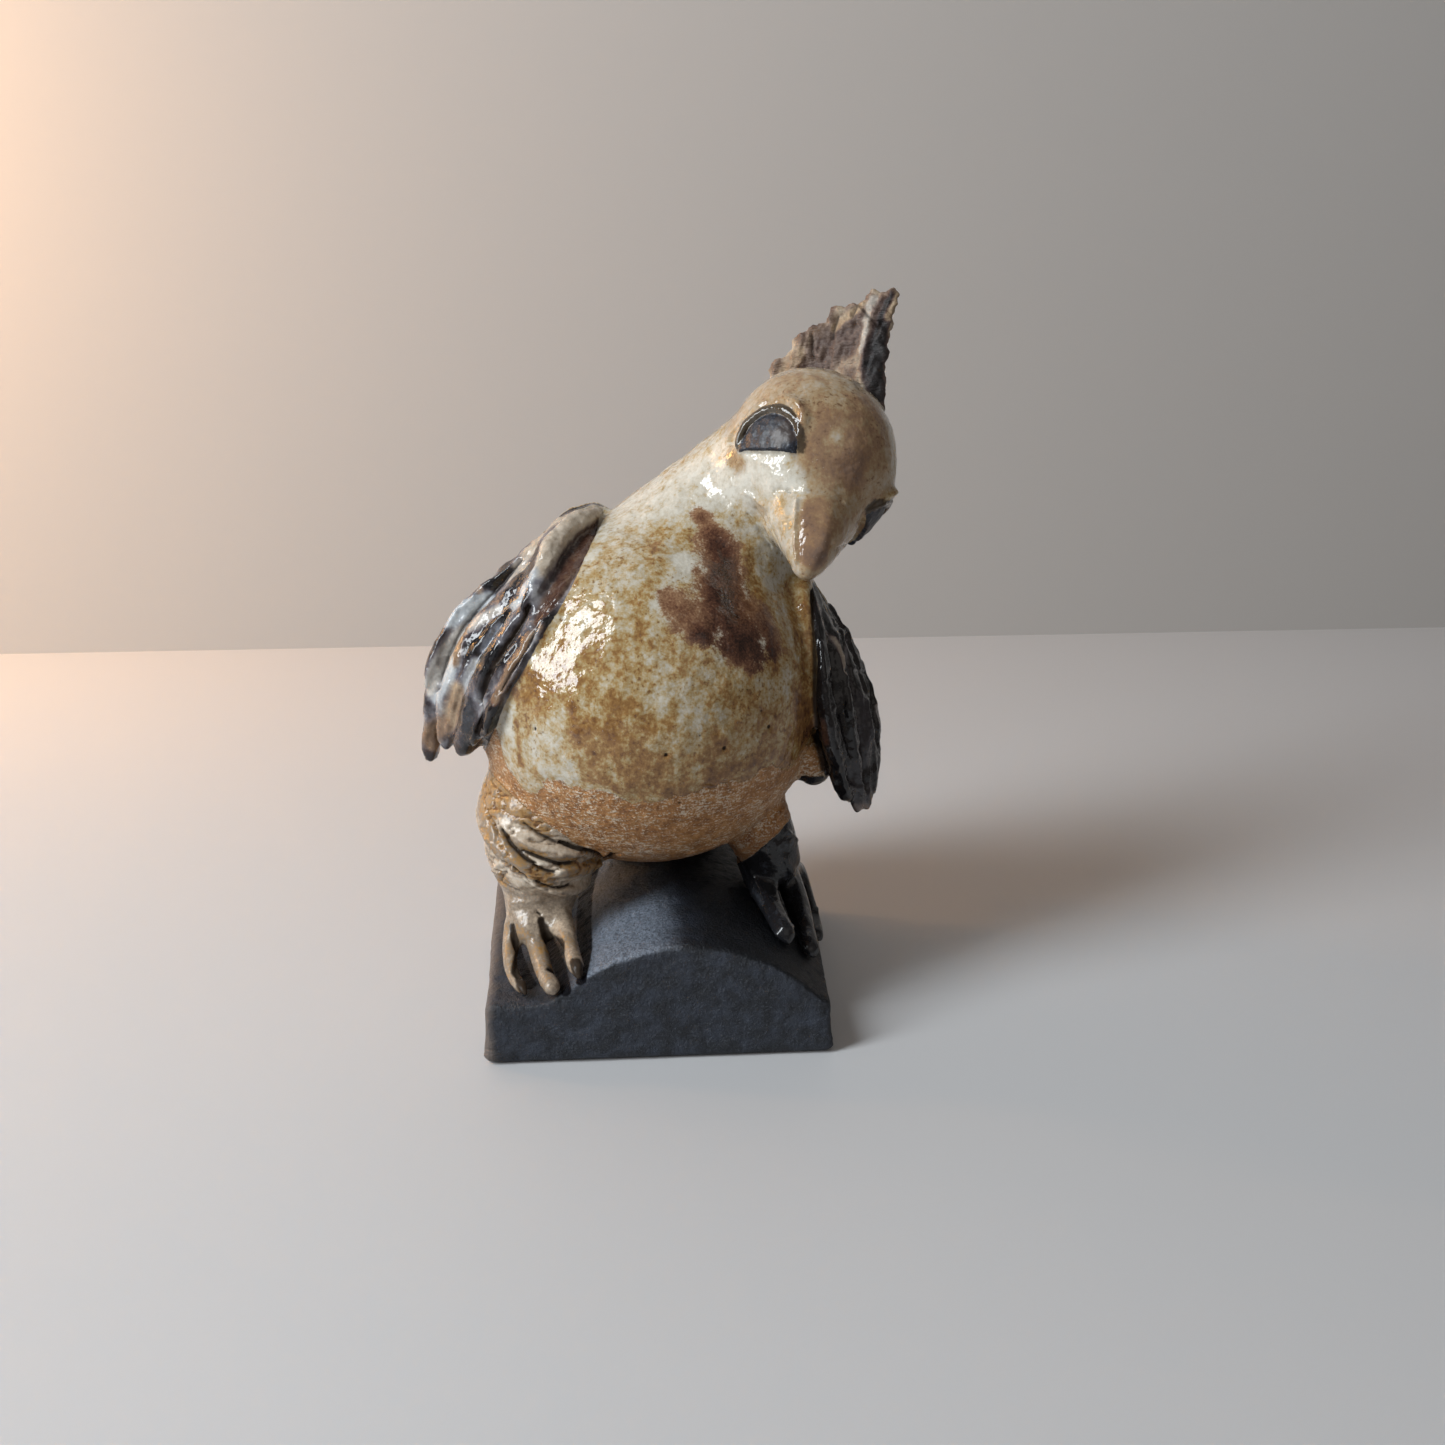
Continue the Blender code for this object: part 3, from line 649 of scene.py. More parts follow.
def inside(outline, soft):
    """1 within an outline in the photo and 0 outside it, over a soft edge in pixels."""
    corners = np.array(outline, float)
    within = np.zeros(len(spots), bool)
    gap = np.full(len(spots), float(PHOTO_SIDE))
    for start, end in zip(corners, np.roll(corners, -1, axis=0)):
        way = end - start
        offset = spots - start
        share = np.clip(offset @ way / (way @ way), 0, 1)
        gap = np.minimum(gap, np.hypot(*(offset - share[:, None] * way).T))
        crosses = (start[1] > spots[:, 1]) != (end[1] > spots[:, 1])
        slope = way[0] / (way[1] if way[1] else 1e-9)
        within ^= crosses & (offset[:, 0] < slope * offset[:, 1])
    return rise(np.where(within, gap, -gap), -soft, soft)


def region(limits):
    """A soft region of the skin: each limit names a measure, where it starts and where it is full."""
    share = np.ones(len(places))
    for name, start, full in limits:
        share = share * rise(measures[name], start, full)
    return share


def is_seen(place):
    """Whether the camera sees this place of the skin."""
    way = Vector(place) - CAMERA_PLACE
    _, _, _, distance = bird_tree.ray_cast(CAMERA_PLACE, way)
    return distance is None or distance > way.length - SEEN_WITHIN


LEFT_WING = ((606, 500), (601, 517), (592, 540), (583, 562), (571, 588), (558, 612), (545, 630),
             (532, 656), (515, 684), (503, 706), (495, 728), (486, 748), (470, 790), (395, 790),
             (395, 640), (430, 585), (505, 530), (570, 495))
RIGHT_WING = ((812, 584), (813, 600), (815, 625), (817, 660), (816, 700), (818, 735), (823, 765),
              (828, 790), (842, 826), (885, 840), (910, 800), (910, 690), (885, 625), (845, 590),
              (824, 573))
LEFT_WING_BACK = (("off", 2.6, 4.2), ("x", -8, -12), ("z", 70, 74), ("y", 36, 33))
RIGHT_WING_BACK = (("off", 2.0, 3.4), ("x", 30, 34), ("z", 50, 54), ("z", 124, 120), ("y", 34, 31))
LEFT_LEG = (("off seat", 0.3, 1.3), ("x", -8, -11), ("z", 72, 68), ("y", 33, 30))
RIGHT_LEG = (("off seat", 0.3, 1.3), ("x", 12, 15), ("z", 68, 64), ("y", 33, 30))
SKIN_FLAP = ((686, 845), (740, 830), (772, 795), (798, 790), (796, 812), (778, 834), (752, 856),
             (722, 872), (690, 868))
BELLY_X = 1
BELLY_Y = 7.2
SEEN_WITHIN = 1.0 * MM
OUTLINE_SOFTNESS = 2.0
GLAZE_THICKNESS = 0.30
GLAZE_SWELL = 0.10
GLAZE_RIPPLE = 0.10
CLAY_TOOTH = 0.10
CREST_RAGS = 0.6
CREST_GRAIN = 0.32
LEFT_WING_LUMPS = 0.34
RIGHT_WING_LUMPS = 0.28
WRINKLE_DEPTH = 0.75
EYE_GRAIN = 0.12
EYE_SOFTNESS = 0.25 * MM
CREST_FRONT = np.array((59.8, 13.5, 160.0)) * MM
CREST_NAPE = np.array((36.8, 30.5, 161.0)) * MM
CREST_TIP = np.array((66.8, 25.0, 191.4)) * MM
spots = on_photo(places)
seen = np.array([is_seen(place) for place in places])
x, y, z = places.T / MM
off_body = stand_off(places, BODY) / MM
off_head = (np.linalg.norm(places - np.array(HEAD), axis=1) - HEAD_RADIUS) / MM
measures = {"x": x, "y": y, "z": z, "off": off_body + 0.5 * lumps(places, 5 * MM, 2, 18)}
measures["off seat"] = off_body - 3.0 * rise(y, 14, 22)
wing_left = np.where(seen, inside(LEFT_WING, OUTLINE_SOFTNESS), region(LEFT_WING_BACK))
wing_right = np.where(seen, inside(RIGHT_WING, OUTLINE_SOFTNESS), region(RIGHT_WING_BACK))
from_front = (places - CREST_FRONT) / MM
root_way = (CREST_NAPE - CREST_FRONT) / np.linalg.norm(CREST_NAPE - CREST_FRONT)
crest_side = np.cross(root_way, (CREST_TIP - CREST_FRONT) / np.linalg.norm(CREST_TIP - CREST_FRONT))
crest_side /= np.linalg.norm(crest_side)
above_root = from_front @ np.cross(crest_side, root_way)
crest = rise(off_head, 0.6, 1.4) * rise(np.abs(from_front @ crest_side), 6.5, 5.5)
crest = crest * rise(above_root, -4, -2)
leg_left = region(LEFT_LEG) * (1 - wing_left)
leg_right = region(RIGHT_LEG) * (1 - wing_right)
leg_right *= 1 - seen * inside(SKIN_FLAP, 2.5)
edge_line = drawn(GLAZE_EDGE)
around = np.arctan2(x - BELLY_X, BELLY_Y - y)
edge_around = np.arctan2(edge_line[:, 0] / MM - BELLY_X, BELLY_Y - edge_line[:, 1] / MM)
edge_height = np.interp(around, edge_around, edge_line[:, 2] / MM)
below_edge = edge_height - z + 1.2 * lumps(places, 3.5 * MM, 3, 2) + 2.0 * lumps(places, 12 * MM, 2, 4)
bare = rise(below_edge, -0.8, 0.8) * (1 - wing_left) * (1 - wing_right) * (1 - leg_left) * (1 - leg_right)
plain_glaze = (1 - bare) * (1 - wing_left) * (1 - wing_right) * (1 - crest)
plain_glaze = plain_glaze * (1 - leg_left) * (1 - leg_right)

eye = np.zeros(len(places))
lid = np.zeros(len(places))
for eye_way in eyes:
    share, height = eye_shares(places, *eye_way)
    above_cut = rise(height, -EYE_CUT - EYE_SOFTNESS, -EYE_CUT + EYE_SOFTNESS)
    relief += EYE_RISE * np.clip(1 - share ** 2, 0, 1) ** 0.6 * above_cut
    eye = np.maximum(eye, rise(share, 1.03, 0.96) * above_cut)
    lid = np.maximum(lid, rise(share, 1.30, 1.12) * rise(height, -2.6 * MM, 0.2 * MM))
lid = lid * (1 - eye)

shade_and_claws = shade_and_claws * rise(y, 34, 31)
thick_glaze = rise(below_edge, 1.0, -4.0) * plain_glaze
relief += thick_glaze * (GLAZE_THICKNESS + GLAZE_SWELL * lumps(places, 5 * MM, 3, 7)) * MM
relief += bare * CLAY_TOOTH * MM * lumps(places, 1.1 * MM, 2, 8)
relief += plain_glaze * GLAZE_RIPPLE * MM * lumps(places, 2.6 * MM, 2, 12)
rags = CREST_RAGS * lumps(places, 3.6 * MM, 3, 11) + CREST_GRAIN * lumps(places, 1.4 * MM, 2, 13)
relief += crest * rags * MM
relief += wing_left * (LEFT_WING_LUMPS * lumps(places, 3.6 * MM, 4, 14)) * MM
relief += wing_right * (RIGHT_WING_LUMPS * lumps(places, 3.4 * MM, 3, 15)) * MM
wrinkles = 1 - np.abs(lumps(places * np.array((0.4, 0.7, 1.4)), 2.8 * MM, 2, 16)) * 3
wrinkles = np.clip(wrinkles, 0, 1) * rise(z, 38, 44)
relief -= (leg_left + 0.3 * leg_right) * WRINKLE_DEPTH * MM * wrinkles
# painted shade: the wrinkles' grooves darkened
shade_and_claws = np.maximum(shade_and_claws, leg_left * wrinkles * 0.45)
relief += eye * EYE_GRAIN * MM * lumps(places, 1.3 * MM, 2, 17)
put_vertices(bird, places + normals * relief[:, None])


# How much iron, oxide or white lies where, from 0 to 1, dabbed on over the masks: on the glaze
# from cream to dark brown, on the wings and the crest from black over milky white to tan. Some
# dabs are painted light instead: painted shade on the breast's right edge, on the crest's front
# ridge, in the gap between the left wing's feathers and on the web by the right wing, and a painted
# sheen on one black feather.
DABS = {
    "neck": (0.20, ((640, 500, 9), (690, 490, 9), (730, 470, 8))),
    "cheek": (0.10, ((735, 480, 6), (765, 472, 6), (795, 470, 5))),
    "throat": (0.34, ((745, 520, 5), (775, 560, 5), (790, 600, 6))),
    "breast_left": (0.42, ((600, 560, 9), (620, 620, 9))),
    # painted shade: the breast's right edge beside the black wing dabbed dark brown
    "breast_right_shade": (0.62, ((795, 590, 4), (803, 640, 5), (803, 690, 5))),
    "flank": (0.50, ((560, 600, 8), (540, 650, 8))),
    "ring_spot": (0.12, ((683, 562, 3.0), (685, 565, 3.0))),
    "belly": (0.55, ((560, 690, 13), (640, 700, 15), (720, 720, 14), (780, 720, 9))),
    "belly_green": (0.42, ((655, 680, 6), (690, 700, 7), (715, 735, 5))),
    "flank_amber": (0.66, ((503, 682, 4), (525, 688, 6), (548, 702, 6), (575, 720, 4), (600, 745, 5))),
    "amber_streak": (0.64, ((618, 712, 3.5), (624, 745, 5), (620, 775, 4))),
    "amber_spot": (0.68, ((714, 742, 2.6), (722, 756, 3.2))),
    "amber_low": (0.64, ((600, 768, 5), (650, 778, 7), (700, 780, 7), (750, 768, 7), (795, 750, 5))),
    "amber_edge": (0.82, ((797, 700, 3), (806, 730, 5), (810, 758, 5), (802, 780, 4))),
    "lobe_left": (0.40, ((500, 735, 3.0), (515, 758, 3.6), (527, 778, 3.0))),
    "lobe_vein": (0.74, ((517, 722, 1.0), (519, 745, 1.1), (523, 765, 1.0))),
    "lobe_right": (0.40, ((556, 722, 4.0), (556, 750, 4.6), (562, 772, 3.4))),
    "pale_patch": (0.38, ((640, 798, 2.2), (656, 802, 2.2))),
    "under_stain": (0.52, ((680, 655, 4), (720, 672, 4), (765, 668, 3))),
    "stain_fringe": (0.60, ((744, 545, 2.0), (750, 580, 2.4), (768, 612, 4.0), (778, 640, 4.0),
                            (772, 665, 3.4))),
    "small_spots": (0.54, ((650, 540, 2.0), (655, 575, 2.4), (640, 610, 2.6), (660, 640, 3.0))),
    "crown": (0.50, ((790, 395, 9), (830, 390, 9), (865, 405, 7))),
    "forehead": (0.66, ((815, 425, 6), (835, 450, 10), (862, 445, 9), (868, 415, 7))),
    "forehead_dark": (0.86, ((838, 470, 2.4), (855, 460, 3.0), (850, 480, 2.6))),
    "forehead_pale": (0.40, ((836, 436, 1.6), (838, 438, 1.6))),
    "beak_left": (0.34, ((785, 505, 4), (788, 530, 3.4), (793, 555, 2.6))),
    "beak_right": (0.78, ((815, 510, 3.6), (815, 535, 4.2), (812, 555, 3.2))),
    "beak_dark": (0.95, ((822, 548, 1.8), (816, 560, 1.8))),
    "jaw": (0.55, ((845, 515, 4), (860, 525, 4), (872, 505, 4))),
    "eye_corner": (0.50, ((732, 455, 2.4), (740, 465, 2.6))),
    "leg_ochre_1": (0.68, ((484, 796, 5.0), (490, 820, 4.4), (500, 845, 3.4), (522, 868, 3.0),
                           (548, 880, 2.6))),
    "leg_top": (0.74, ((488, 784, 5), (506, 804, 6), (530, 826, 5))),
    "leg_ochre_2": (0.70, ((562, 872, 1.8), (585, 868, 2.4), (608, 864, 2.0))),
    "leg_ochre_3": (0.70, ((494, 878, 2.0), (508, 890, 2.2), (520, 897, 1.8))),
    "leg_ochre_4": (0.70, ((520, 842, 1.4), (545, 854, 1.6), (575, 858, 1.4))),
    "leg_cream_1": (0.30, ((500, 822, 1.6), (520, 832, 1.8), (545, 846, 1.6), (575, 852, 1.4))),
    "leg_cream_2": (0.24, ((536, 862, 1.2), (552, 868, 1.4), (562, 874, 1.2))),
    "leg_cream_3": (0.28, ((492, 862, 1.4), (508, 872, 1.5), (530, 884, 1.5))),
    "foot": (0.42, ((510, 905, 5), (540, 905, 5), (565, 905, 4))),
    "toes": (0.52, ((510, 940, 4), (535, 950, 4), (560, 945, 4), (540, 985, 5))),
}
OXIDE_DABS = {
    "lip_grey": (0.84, 0.8, ((600, 508, 2.6), (577, 519, 3.6), (559, 534, 3.8), (546, 552, 3.4),
                             (539, 568, 2.6))),
    "lip_back": (0.78, 0.8, ((596, 500, 2.4), (568, 508, 3.0), (548, 524, 3.2), (536, 542, 2.8),
                             (526, 556, 2.0))),
    "lip_brown": (0.30, 1.0, ((597, 524, 1.6), (585, 543, 2.4), (573, 562, 2.8), (560, 585, 2.6),
                              (547, 606, 2.4), (538, 620, 1.6))),
    "lip_blue": (0.80, 0.15, ((531, 574, 2.2), (523, 592, 2.2), (514, 606, 1.8), (500, 616, 1.4))),
    "top_pale": (0.78, 0.6, ((524, 562, 2.0), (508, 578, 2.4), (490, 598, 2.2))),
    "top_dark": (0.04, 0.1, ((507, 564, 2.0), (496, 580, 2.6), (484, 598, 2.2), (474, 604, 1.4))),
    "top_blue": (0.78, 0.1, ((488, 598, 2.2), (466, 608, 3.0), (450, 620, 2.6))),
    "outer_grey": (0.60, 0.8, ((478, 588, 1.2), (455, 606, 1.4), (440, 625, 1.4))),
    "edge_cream": (0.80, 0.5, ((498, 610, 1.6), (468, 628, 2.2), (449, 648, 2.4), (437, 668, 2.2),
                               (430, 690, 1.8))),
    "edge_tan": (0.74, 1.0, ((434, 634, 1.2), (427, 655, 1.4), (422, 678, 1.4))),
    "teal": (0.80, 0.15, ((452, 664, 2.4), (444, 682, 2.6), (436, 700, 1.6))),
    "orange_rim": (0.55, 1.0, ((471, 624, 0.9), (462, 638, 1.3), (455, 662, 1.3))),
    "black_feather": (-0.02, 0.2, ((509, 616, 2.2), (489, 638, 3.2), (475, 654, 3.0), (502, 655, 2.2),
                                   (486, 672, 1.8))),
    # painted sheen: a whitish-grey reflection dabbed on the black feather
    "painted_sheen": (0.52, 0.1, ((499, 626, 1.2), (489, 640, 1.5), (484, 650, 1.2))),
    "grey_patch": (0.70, 0.25, ((476, 662, 1.6), (470, 676, 2.0), (466, 690, 1.6))),
    "lower_grey": (0.16, 0.1, ((467, 702, 1.8), (468, 725, 1.8), (468, 748, 1.8))),
    "pitted_tan": (0.62, 1.0, ((456, 690, 2.4), (452, 708, 2.8), (448, 724, 2.6))),
    "tip_brown": (0.50, 1.0, ((444, 726, 3.0), (430, 736, 3.2), (438, 748, 2.6))),
    "tip_black": (0.12, 0.5, ((427, 758, 2.0), (438, 760, 1.8))),
    # painted shadow: the deep gap between the left wing's feathers dabbed black
    "gap": (-0.3, 0.5, ((497, 694, 1.6), (488, 716, 2.6), (480, 736, 3.0), (474, 752, 2.4))),
    "inner_olive": (0.52, 1.0, ((538, 628, 1.4), (522, 648, 1.6), (506, 674, 1.8), (494, 700, 1.8))),
    "inner_teal": (0.60, 0.3, ((536, 632, 1.0), (528, 650, 1.0))),
    "feather_line": (0.66, 0.9, ((528, 609, 0.5), (510, 638, 0.6), (490, 668, 0.5))),
    "right_rim": (0.70, 0.7, ((830, 600, 0.9), (846, 624, 1.1), (860, 650, 1.2), (868, 668, 0.8))),
    "right_ridge": (0.46, 0.3, ((847, 640, 0.6), (850, 672, 0.7), (858, 715, 0.7), (863, 755, 0.7),
                                (856, 800, 0.6))),
    "right_grey": (0.22, 0.2, ((862, 700, 3.0), (868, 740, 3.4), (858, 780, 4.4), (868, 798, 3.0))),
    "right_spots": (0.66, 0.4, ((876, 706, 0.7), (880, 724, 0.8))),
    "right_tip": (0.50, 0.6, ((856, 808, 1.4), (868, 808, 1.4))),
    # painted shade: the web between the right wing and the body dabbed dark brown
    "right_web_shade": (0.30, 1.0, ((823, 722, 1.2), (826, 742, 1.4))),
    "crest_dark": (0.36, 0.8, ((845, 335, 5), (825, 352, 5), (868, 312, 4))),
    "crest_ochre": (0.66, 1.0, ((784, 376, 2.0), (790, 364, 2.2), (800, 352, 1.4))),
    "crest_ochre_low": (0.56, 1.0, ((800, 382, 1.2), (825, 380, 1.6), (856, 386, 1.8), (880, 402, 1.4))),
    "crest_ochre_top": (0.68, 1.0, ((834, 327, 1.2), (862, 304, 1.4))),
    "crest_pale": (0.80, 0.6, ((874, 298, 1.2), (868, 312, 1.0), (865, 335, 1.0), (862, 352, 0.9))),
    # painted shade: the shaded right face of the crest's front ridge dabbed black
    "crest_front_shade": (0.0, 0.6, ((891, 298, 1.4), (883, 322, 2.0), (876, 350, 3.0), (874, 375, 3.0),
                               (878, 396, 2.2))),
    "crest_tip": (0.72, 1.0, ((898, 294, 1.2), (900, 302, 1.0))),
}
STAIN = {
    "column": ((700, 512, 2.0), (708, 528, 3.4), (718, 550, 6.0), (722, 578, 7.4), (724, 605, 8.0),
               (737, 632, 8.4), (748, 650, 6.0)),
    "left": ((668, 598, 3.4), (685, 614, 5.4), (705, 626, 6.0)),
    "right": ((742, 606, 4.0), (764, 620, 4.4), (772, 645, 4.0)),
}
STAIN_DARK = {
    "core": ((716, 540, 3.0), (724, 570, 4.0), (724, 605, 5.0)),
    "pool": ((708, 640, 4.0), (730, 634, 6.0), (752, 646, 6.0), (768, 655, 4.0)),
}
BACK_IRON = 0.40
LOW_IRON = 0.64
BLACK_WING_LIGHT = -0.08
CREST_LIGHT = 0.55
WING_LIGHT = 0.32


def dab(pixels, falloff=0.45):
    """1 along a path in the photo and 0 away from it."""
    return rise(path_distance(places, drawn(pixels, 4)), 1 + falloff, 1 - falloff)


tone = np.full(len(places), BACK_IRON) + 0.10 * lumps(places, 16 * MM, 2, 21)
for value, pixels in DABS.values():
    tone += (value - tone) * dab(pixels)
low_iron = rise(below_edge, -9, -1) * rise(spots[:, 0], 570, 620) * plain_glaze
tone += (LOW_IRON - tone) * low_iron * 0.8
# the leg darker ochre in its wrinkles' grooves and paler on their ridges: partly the glaze's own pooling,
# partly painted shade and highlight
tone += 0.34 * leg_left * (wrinkles - 0.35) * rise(z, 38, 44)
on_right_wing = wing_right > 0.02
on_crest = crest > 0.02
light = np.where(on_right_wing, BLACK_WING_LIGHT, np.where(on_crest, CREST_LIGHT, WING_LIGHT))
light = light + np.where(on_right_wing, 0.10, 0.28) * lumps(places, 6 * MM, 3, 22)
warm = np.where(on_crest, 0.90, 0.30)
for lightness, warmth, pixels in OXIDE_DABS.values():
    share = dab(pixels)
    light += (lightness - light) * share
    warm += (warmth - warm) * share
stain = np.maximum.reduce([dab(pixels, 0.85) for pixels in STAIN.values()])
stain_dark = np.maximum.reduce([dab(pixels, 0.85) for pixels in STAIN_DARK.values()])
from_head = places - np.array(HEAD)
along_beak = from_head @ np.array(BEAK_WAY)
off_beak = np.linalg.norm(from_head - np.outer(along_beak, np.array(BEAK_WAY)), axis=1) / MM
beak = rise(along_beak / MM, 16, 20) * rise(along_beak / MM, 46, 43) * rise(off_beak, 15, 12)
wash = np.maximum(rise(off_head, 2.5, 1.0), beak) * rise(tone, 0.26, 0.44) * plain_glaze

MASKS = {
    "wash": wash, "tone": tone, "light": light, "warm": warm, "stain": stain, "stain_dark": stain_dark,
    "shade_and_claws": shade_and_claws, "bare": bare, "eye": eye, "lid": lid, "crest": crest,
    "wing_left": wing_left, "wing_right": wing_right, "leg_left": leg_left, "leg_right": leg_right,
}
for name, values in MASKS.items():
    keep_mask(bird, name, values)

skin_faces = sum(len(face.vertices) - 2 for face in bird.data.polygons)
finish_with(bird, "DECIMATE", ratio=min(1.0, BIRD_FACES / skin_faces))
bird_low, bird_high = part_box("bird")
put_vertices(bird, np.clip(vertices_of(bird), np.array(bird_low), np.array(bird_high)))
choose_only(bird)
bpy.ops.object.shade_smooth()


# The finish: a thick pale ash glaze, runny and glossy, over brown stoneware. Iron stains it red
# and amber, black oxide covers the wings, the right leg and the eyes, and the belly is bare.
GLAZE_STOPS = ((0.0, (0.59, 0.56, 0.49)), (0.28, (0.48, 0.435, 0.355)), (0.42, (0.42, 0.335, 0.21)),
               (0.52, (0.36, 0.25, 0.11)), (0.64, (0.27, 0.145, 0.05)), (0.80, (0.185, 0.088, 0.032)),
               (1.0, (0.08, 0.035, 0.018)))
STAIN_STOPS = ((0.12, (0.32, 0.19, 0.105)), (0.36, (0.175, 0.085, 0.047)), (0.58, (0.080, 0.033, 0.020)),
               (0.80, (0.024, 0.010, 0.007)))
BARE_STOPS = ((0.36, (0.16, 0.062, 0.019)), (0.50, (0.36, 0.165, 0.052)), (0.62, (0.50, 0.27, 0.11)))
LEG_STOPS = ((0.0, (0.60, 0.53, 0.44)), (0.28, (0.44, 0.35, 0.26)), (0.50, (0.22, 0.172, 0.128)),
             (0.66, (0.33, 0.19, 0.07)), (0.85, (0.16, 0.075, 0.028)))
COOL_STOPS = ((0.0, (0.008, 0.008, 0.010)), (0.28, (0.030, 0.034, 0.044)), (0.52, (0.13, 0.15, 0.19)),
              (0.76, (0.36, 0.40, 0.44)), (1.0, (0.60, 0.62, 0.62)))
WARM_STOPS = ((0.0, (0.012, 0.008, 0.007)), (0.28, (0.070, 0.034, 0.024)), (0.52, (0.19, 0.118, 0.072)),
              (0.76, (0.38, 0.28, 0.18)), (1.0, (0.60, 0.52, 0.41)))
BARE_LOW = (0.16, 0.068, 0.027)
HEAD_WASH = (0.28, 0.20, 0.155)
WHITE_SPECK = (0.68, 0.60, 0.48)
IRON_SPECK = (0.11, 0.05, 0.025)
OXIDE = (0.012, 0.012, 0.014)
PAINTED_GREY_GLEAM = (0.045, 0.05, 0.062)
EYE_BLUE = (0.009, 0.011, 0.018)
EYE_DUST = (0.060, 0.072, 0.10)
EYE_BROWN = (0.050, 0.032, 0.024)
LID_BROWN = (0.030, 0.022, 0.015)
# painted shade for creases, gaps and wrinkles, and the claws' own black
SHADE_AND_CLAW_BLACK = (0.018, 0.012, 0.009)

glaze = Finish("ash_glaze_over_stoneware", 0.2)


def ramp(value, stops):
    made = glaze.node("ShaderNodeValToRGB", {"Fac": value})
    ladder = made.color_ramp.elements
    while len(ladder) < len(stops):
        ladder.new(0.5)
    for step, (position, colour) in zip(ladder, stops):
        step.position = position
        step.color = (*colour, 1.0)
    return made.outputs["Color"]


def around_half(value, strength):
    """Noise, which lies round 0.5, spread round 0 to the given strength."""
    return glaze.times(glaze.sum(value, -0.5), strength)


speckle = glaze.cloud(0.55 * MM, 3.0, 0.6)
fine = glaze.cloud(1.1 * MM, 5.0, 0.68)
medium = glaze.cloud(4.2 * MM, 7.0, 0.66)
broad = glaze.cloud(12 * MM, 4.0, 0.6)
runs = glaze.cloud(2.6 * MM, 5.0, 0.62, scale=(1.0, 1.0, 0.22))
scratches = glaze.cloud(0.75 * MM, 3.0, 0.65, scale=(0.4, 0.4, 1.5))
tone = glaze.mask("tone")
wash = glaze.mask("wash")

mottling = glaze.sum(around_half(medium, 1.15), around_half(fine, 0.85))
mottling = glaze.sum(mottling, around_half(runs, 0.45))
iron = glaze.sum(tone, glaze.times(mottling, glaze.band(wash, 0.0, 1.0, 1.0, 0.75)))
colour = ramp(iron, GLAZE_STOPS)
colour = glaze.mix(glaze.times(wash, 0.42), colour, HEAD_WASH)
iron_spots = glaze.band(glaze.sum(fine, glaze.times(broad, 0.35)), 0.77, 0.86)
iron_spots = glaze.times(iron_spots, glaze.band(tone, 0.2, 0.5, 0.1, 0.75))
colour = glaze.mix(iron_spots, colour, IRON_SPECK)
sparks = glaze.times(glaze.band(speckle, 0.66, 0.76), glaze.band(tone, 0.3, 0.5))
colour = glaze.mix(glaze.times(sparks, 0.55), colour, WHITE_SPECK)
rough = glaze.band(fine, 0.3, 0.7, 0.07, 0.16)

stained = glaze.mask("stain")
stain_edge = glaze.sum(stained, around_half(medium, 1.9))
stain_edge = glaze.sum(stain_edge, around_half(speckle, 0.7))
stain_depth = glaze.sum(glaze.times(stained, 0.34), glaze.times(glaze.mask("stain_dark"), 0.34))
stain_depth = glaze.sum(stain_depth, around_half(speckle, 0.7))
stain_depth = glaze.sum(stain_depth, around_half(medium, 1.1))
colour = glaze.mix(glaze.band(stain_edge, 0.34, 0.70), colour, ramp(stain_depth, STAIN_STOPS))

bare = glaze.band(glaze.sum(glaze.mask("bare"), around_half(speckle, 1.2)), 0.35, 0.65)
bare_colour = ramp(glaze.sum(glaze.times(fine, 0.5), glaze.times(medium, 0.5)), BARE_STOPS)
near_edge = glaze.band(glaze.sum(broad, around_half(medium, 0.6)), 0.35, 0.7, 0.60, 0.53)
grains = glaze.sum(glaze.times(scratches, 0.5), glaze.times(speckle, 0.5))
white = glaze.band(glaze.sum(grains, glaze.times(near_edge, -1.0)), -0.05, 0.0)
bare_colour = glaze.mix(glaze.times(white, 0.75), bare_colour, WHITE_SPECK)
place_z = place_along(glaze, "Z")
low_down = glaze.band(glaze.sum(place_z, glaze.times(medium, 8 * MM)), 58 * MM, 46 * MM, 0.0, 0.6)
bare_colour = glaze.mix(low_down, bare_colour, BARE_LOW)
colour = glaze.mix(bare, colour, bare_colour)
rough = glaze.blend(bare, rough, 0.50)

legs = glaze.band(glaze.mask("leg_left"), 0.35, 0.65)
leg_tone = glaze.sum(glaze.sum(tone, around_half(fine, 0.7)), around_half(medium, 0.6))
colour = glaze.mix(legs, colour, ramp(leg_tone, LEG_STOPS))
rough = glaze.blend(legs, rough, 0.26)

right_leg = glaze.band(glaze.sum(glaze.mask("leg_right"), around_half(medium, 0.5)), 0.4, 0.6)
# painted gleam: grey patches on the black right leg stand in for its reflections
leg_black = glaze.mix(glaze.band(medium, 0.5, 0.72), OXIDE, PAINTED_GREY_GLEAM)
colour = glaze.mix(right_leg, colour, leg_black)
rough = glaze.blend(right_leg, rough, 0.17)

oxide = glaze.sum(glaze.sum(glaze.mask("wing_left"), glaze.mask("wing_right")), glaze.mask("crest"))
oxide = glaze.band(oxide, 0.35, 0.6)
light = glaze.sum(glaze.mask("light"), around_half(fine, 0.35))
light = glaze.sum(light, around_half(medium, 0.45))
oxide_colour = glaze.mix(glaze.mask("warm"), ramp(light, COOL_STOPS), ramp(light, WARM_STOPS))
colour = glaze.mix(oxide, colour, oxide_colour)
rough = glaze.blend(oxide, rough, glaze.band(medium, 0.42, 0.62, 0.09, 0.30))
crest = glaze.band(glaze.mask("crest"), 0.35, 0.65)
rough = glaze.blend(crest, rough, 0.55)

